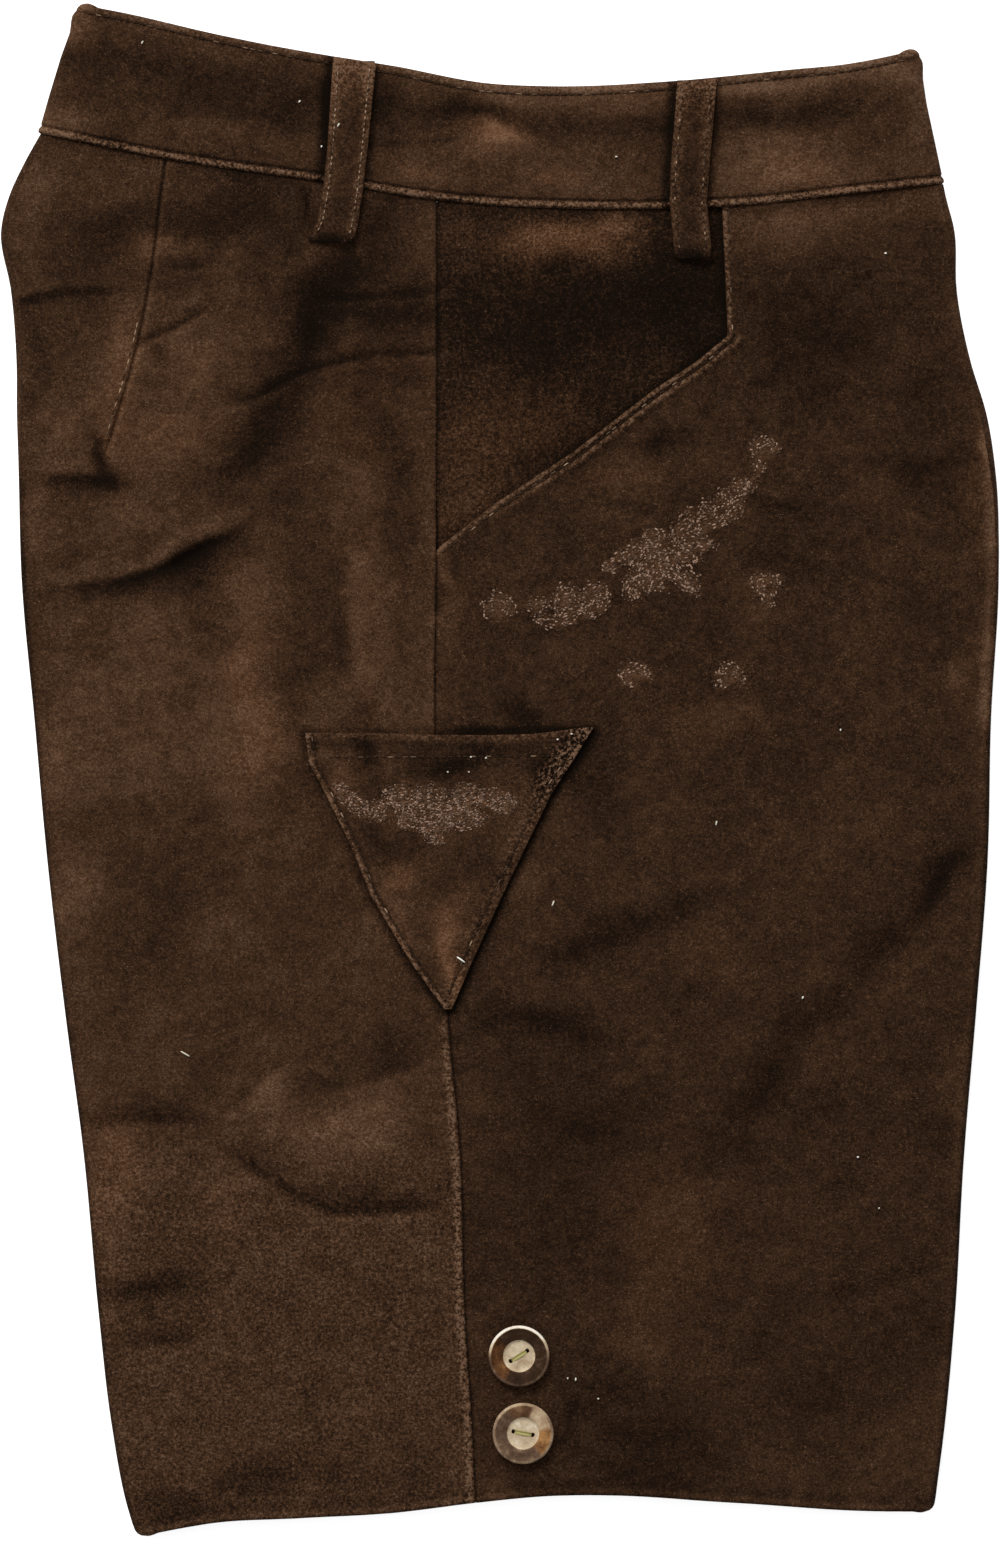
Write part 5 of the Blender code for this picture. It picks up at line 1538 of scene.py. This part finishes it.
def turned_profile(radius):
    """The profile turned about the button's axis, as an object with a modifier."""
    mesh = bpy.data.meshes.new("profile")
    points = [(radius * r * MM, 0, radius * z * MM) for r, z in BUTTON_PROFILE]
    mesh.from_pydata(points, [(i, i + 1) for i in range(len(points) - 1)], [])
    profile = add_object("turned", mesh)
    screw = profile.modifiers.new("Turned", "SCREW")
    screw.steps = screw.render_steps = BUTTON_STEPS
    screw.use_merge_vertices = True
    screw.merge_threshold = 0.00001
    return profile


def hole_cutter(centre_x):
    """An upright cylinder where a button's hole goes."""
    angles = np.linspace(0, math.tau, HOLE_STEPS, endpoint=False)
    ring = [(centre_x + HOLE_RADIUS * math.cos(a), HOLE_RADIUS * math.sin(a)) for a in angles]
    corners = [(x * MM, y * MM, z * MM) for z in (-5, 5) for x, y in ring]
    steps = range(HOLE_STEPS)
    walls = [(i, (i + 1) % HOLE_STEPS, HOLE_STEPS + (i + 1) % HOLE_STEPS, HOLE_STEPS + i) for i in steps]
    caps = [steps[::-1], range(HOLE_STEPS, 2 * HOLE_STEPS)]
    mesh = bpy.data.meshes.new("hole")
    mesh.from_pydata(corners, [], walls + caps)
    return add_object("hole", mesh)


def button_mesh(name, radius):
    """A turned horn button with a raised rim, a sunk centre and two holes, its foot on z = 0."""
    button = turned_profile(radius)
    helpers = [button]
    for sign in (-1, 1):
        hole = hole_cutter(sign * HOLE_SPREAD * radius)
        helpers.append(hole)
        cut = button.modifiers.new("Hole", "BOOLEAN")
        cut.object = hole
        cut.solver = "EXACT"
    bpy.context.view_layer.update()
    finished = bpy.data.meshes.new_from_object(button.evaluated_get(bpy.context.evaluated_depsgraph_get()))
    finished.name = name
    for helper in helpers:
        bpy.data.objects.remove(helper, do_unlink=True)
    return finished


def horn_tone(x, y, radius, ring, disc, rim, wedges):
    """Paleness of the horn: a dark ring about a pale disc, a pale rim with a painted highlight on one side,
    and wedges.

    rim is (direction of the painted highlight, paleness there, paleness opposite) and a wedge (direction,
    half width, paleness, warmth). Returns the paleness and the warmth.
    """
    out, way = np.hypot(x, y) / radius, np.degrees(np.arctan2(y, x))

    def off(direction):
        return np.abs((way - direction + 180) % 360 - 180)

    direction, near, opposite = rim
    # Painted highlight: the rim is paler toward direction, the side the lamp is on
    rim_with_highlight = opposite + (near - opposite) * (1 - smooth((off(direction) - 44) / 60))
    tone, warm = np.where(out < 0.525, disc, ring), np.zeros_like(out)
    for direction, half_width, paleness, warmth in wedges:
        share = (out > 0.53) * (1 - smooth((off(direction) - half_width) / 8))
        tone = tone + (paleness - tone) * share
        warm = warm + (warmth - warm) * share
    on_rim = smooth((out - 0.89) / 0.04)
    return tone + (rim_with_highlight - tone) * on_rim, warm * (1 - on_rim)


def add_button(name, radius, centre, turn, face_down, looks, materials):
    """A button with its foot, or its face if it lies face down, at the centre; looks goes to horn_tone."""
    mesh = button_mesh("horn_" + name, radius)
    points = np.empty(len(mesh.vertices) * 3, np.float32)
    mesh.vertices.foreach_get("co", points)
    x, y, z = points.reshape(-1, 3).T / MM
    x, y = turned(x, y, turn)
    flip = -1 if face_down else 1
    placed = np.column_stack([x, y * flip, z * flip]) + np.array(centre)
    mesh.vertices.foreach_set("co", (placed * MM).astype(np.float32).ravel())
    write_values(mesh, dict(zip(("light", "warm"), horn_tone(x, y, radius, *looks))))
    mesh.shade_smooth()
    add_piece(mesh, materials["horn"], name)
    if not face_down:
        add_piece(thread_through(name, radius, centre, turn), materials["button_thread"])


def thread_through(name, radius, centre, turn):
    """The strands that cross a button's web from hole to hole."""
    level = centre[2] + radius * BUTTON_WEB - THREAD_DROP
    ends = []
    for way in (-1, 1):
        reach = way * (HOLE_SPREAD * radius - HOLE_INSET)
        strands = [turned(reach, aside * HOLE_RADIUS, turn) for aside in BUTTON_STRANDS]
        ends.append(np.array([(centre[0] + x, centre[1] + y, level) for x, y in strands]))
    return stitch_mesh("thread_" + name, *ends, radius=0.22, lift=0.34, seed=7, sides=8)


def add_buttons(materials):
    """Two on each hem, face up on the right side and face down on the left, and the fly's on the left."""
    for part, x, y, turn in HEM_BUTTONS:
        looks = HORN_LOOKS[part]
        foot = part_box(f"hem_button_right_{part}")[0][2] / MM
        add_button(f"hem_button_right_{part}", HEM_BUTTON_RADIUS, (x, y, foot), turn, False, looks, materials)
        top = HEM_BUTTON_RADIUS * BUTTON_HEIGHT
        add_button(f"hem_button_left_{part}", HEM_BUTTON_RADIUS, (x, y, top), -turn, True, looks, materials)
    centre = (FLY_BUTTON_X, FLY_BUTTON_Y, FLY_BUTTON_RADIUS * BUTTON_HEIGHT)
    add_button("fly_button", FLY_BUTTON_RADIUS, centre, 0.0, True, HORN_LOOKS["fly"], materials)


# --- Leather pieces ---


def add_panel(side, toward, material):
    """A front or back panel, plain where it has gone round the fold."""
    grid, flat = panel_grid(side, toward)
    shown = (np.arange(grid.shape[1]) < flat + SHOWN_ON_FOLD)[None, :]
    raised, light, warm, worn = panel_face(side, toward, grid[..., 0], grid[..., 1])
    face = (raised * shown, np.where(shown, light, PLAIN_TONE), warm * shown, worn * shown)
    name = f"{SIDE_WORDS[side]}_{PANEL_WORDS[toward]}"
    mesh = shell_mesh("suede_" + name, grid, side * toward, LEATHER, EDGE_ROUND, *face)
    return add_piece(mesh, material, name)


def add_waistband(side, material):
    grid = waistband_grid(side)
    face = band_face(side, grid[..., 0], grid[..., 1])
    name = "waistband_" + SIDE_WORDS[side]
    mesh = shell_mesh("suede_" + name, grid, side, BAND, BAND_ROUND, *face)
    return add_piece(mesh, material, name)


def add_facing(side, material):
    grid = facing_grid(side)
    face = facing_face(side, grid[..., 0], grid[..., 1])
    name = "pocket_facing_" + SIDE_WORDS[side]
    mesh = shell_mesh("suede_" + name, grid, side, LEATHER, EDGE_ROUND, *face)
    return add_piece(mesh, material, name)


def add_loop(side, material, part, *sizes):
    grid = loop_grid(side, part, *sizes)
    name = f"{SIDE_WORDS[side]}_{part}"
    mesh = shell_mesh("suede_loop_" + name, grid, -side, LEATHER, EDGE_ROUND, *loop_face(side, part))
    return add_piece(mesh, material, "belt_loop_" + name)


def add_knife_pocket(material):
    grid = knife_pocket_grid()
    face = knife_face(grid[..., 0], grid[..., 1])
    mesh = shell_mesh("suede_knife_pocket", grid, -1, LEATHER, EDGE_ROUND, *face)
    return add_piece(mesh, material, "knife_pocket")


# --- Stage ---

CAMERA_HEIGHT, CAMERA_MIDDLE = 3.0, (-0.0004, -0.0002)
SHOWN_HEIGHT = 0.6149
SENSOR = 36.0
LAMP_PLACE, LAMP_SIZE, LAMP_POWER = (-1.3, 3.6, 3.0), (3.2, 1.8), 240.0
LAMP_COLOUR, SKY_COLOUR, FLOOR_COLOUR = (1.0, 0.985, 0.96), (0.97, 0.98, 1.0, 1.0), (0.9, 0.9, 0.895, 1.0)
SKY_STRENGTH = 0.5
FLOOR_HALF, FLOOR_GLOW, FLOOR_DROP = 8.0, 0.7, 0.0001


def add_camera():
    """Straight above, at the distance where the floor's height in the picture is the photo's."""
    camera = add_object("camera", bpy.data.cameras.new("camera"))
    camera.location = (*CAMERA_MIDDLE, CAMERA_HEIGHT)
    camera.data.sensor_width = SENSOR
    camera.data.lens = SENSOR * (CAMERA_HEIGHT - RIGHT_LEG * MM) / SHOWN_HEIGHT
    camera.data.clip_end = 50.0
    bpy.context.scene.camera = camera


def add_light():
    """One large lamp from the waist's side, and an even sky."""
    light = bpy.data.lights.new("lamp", "AREA")
    light.shape = "RECTANGLE"
    light.size, light.size_y = LAMP_SIZE
    light.energy = LAMP_POWER
    light.color = LAMP_COLOUR
    lamp = add_object("lamp", light)
    lamp.location = LAMP_PLACE
    lamp.rotation_euler = (-lamp.location).to_track_quat("-Z", "Y").to_euler()

    world = bpy.data.worlds.new("studio")
    world.use_nodes = True
    sky = world.node_tree.nodes["Background"]
    sky.inputs["Color"].default_value = SKY_COLOUR
    sky.inputs["Strength"].default_value = SKY_STRENGTH
    bpy.context.scene.world = world
    bpy.context.scene.view_settings.view_transform = "Standard"


def add_floor():
    """White paper that glows a little, for the photo's bright ground."""
    mesh = bpy.data.meshes.new("floor")
    corners = [(x * FLOOR_HALF, y * FLOOR_HALF, 0) for x, y in ((-1, -1), (1, -1), (1, 1), (-1, 1))]
    mesh.from_pydata(corners, [], [(0, 1, 2, 3)])
    floor = add_object("floor", mesh)
    floor.location.z = -FLOOR_DROP
    glow = {"Emission_Color": (1.0, 1.0, 1.0, 1.0), "Emission_Strength": FLOOR_GLOW}
    mesh.materials.append(new_material("paper", Roughness=0.95, Base_Color=FLOOR_COLOUR, **glow)[0])


# --- The whole ---


def build():
    add_camera()
    add_light()
    add_floor()
    suede, facing_suede = suede_material("suede"), suede_material("facing_suede")
    thread = thread_material("thread", *THREAD_COLOURS)
    silk = thread_material("embroidery", *SILK_COLOURS)
    button_thread = thread_material("button_thread", *BUTTON_THREAD_COLOURS)
    lint = thread_material("lint", *LINT_COLOURS)

    for side in (RIGHT, LEFT):
        for toward in (FRONT, BACK):
            add_panel(side, toward, suede)
        add_waistband(side, suede)
        add_facing(side, facing_suede)
        for part, *sizes in BELT_LOOPS:
            add_loop(side, suede, part, *sizes)
    add_knife_pocket(suede)
    add_buttons({"horn": horn_material(), "button_thread": button_thread})

    sewn = {"mouth": sew_pocket_mouth(thread), "dart": sew_dart(thread), "band": sew_waistband(thread)}
    for number, (part, *sizes) in enumerate(BELT_LOOPS):
        sewn[part] = sew_loop(thread, number, part, *sizes)
    sewn["knife"] = sew_knife_pocket(thread)
    sewn["flowers"] = embroider("embroidery_front", FRONT_LOBES, FRONT_VEINS, panel_top, silk, seed=41)
    fine = {"seed": 43, "fineness": KNIFE_FINENESS}
    sewn["knife_flowers"] = embroider(
        "embroidery_knife_pocket", KNIFE_LOBES, KNIFE_VEINS, knife_top, silk, **fine
    )
    scatter_lint(lint)


build()
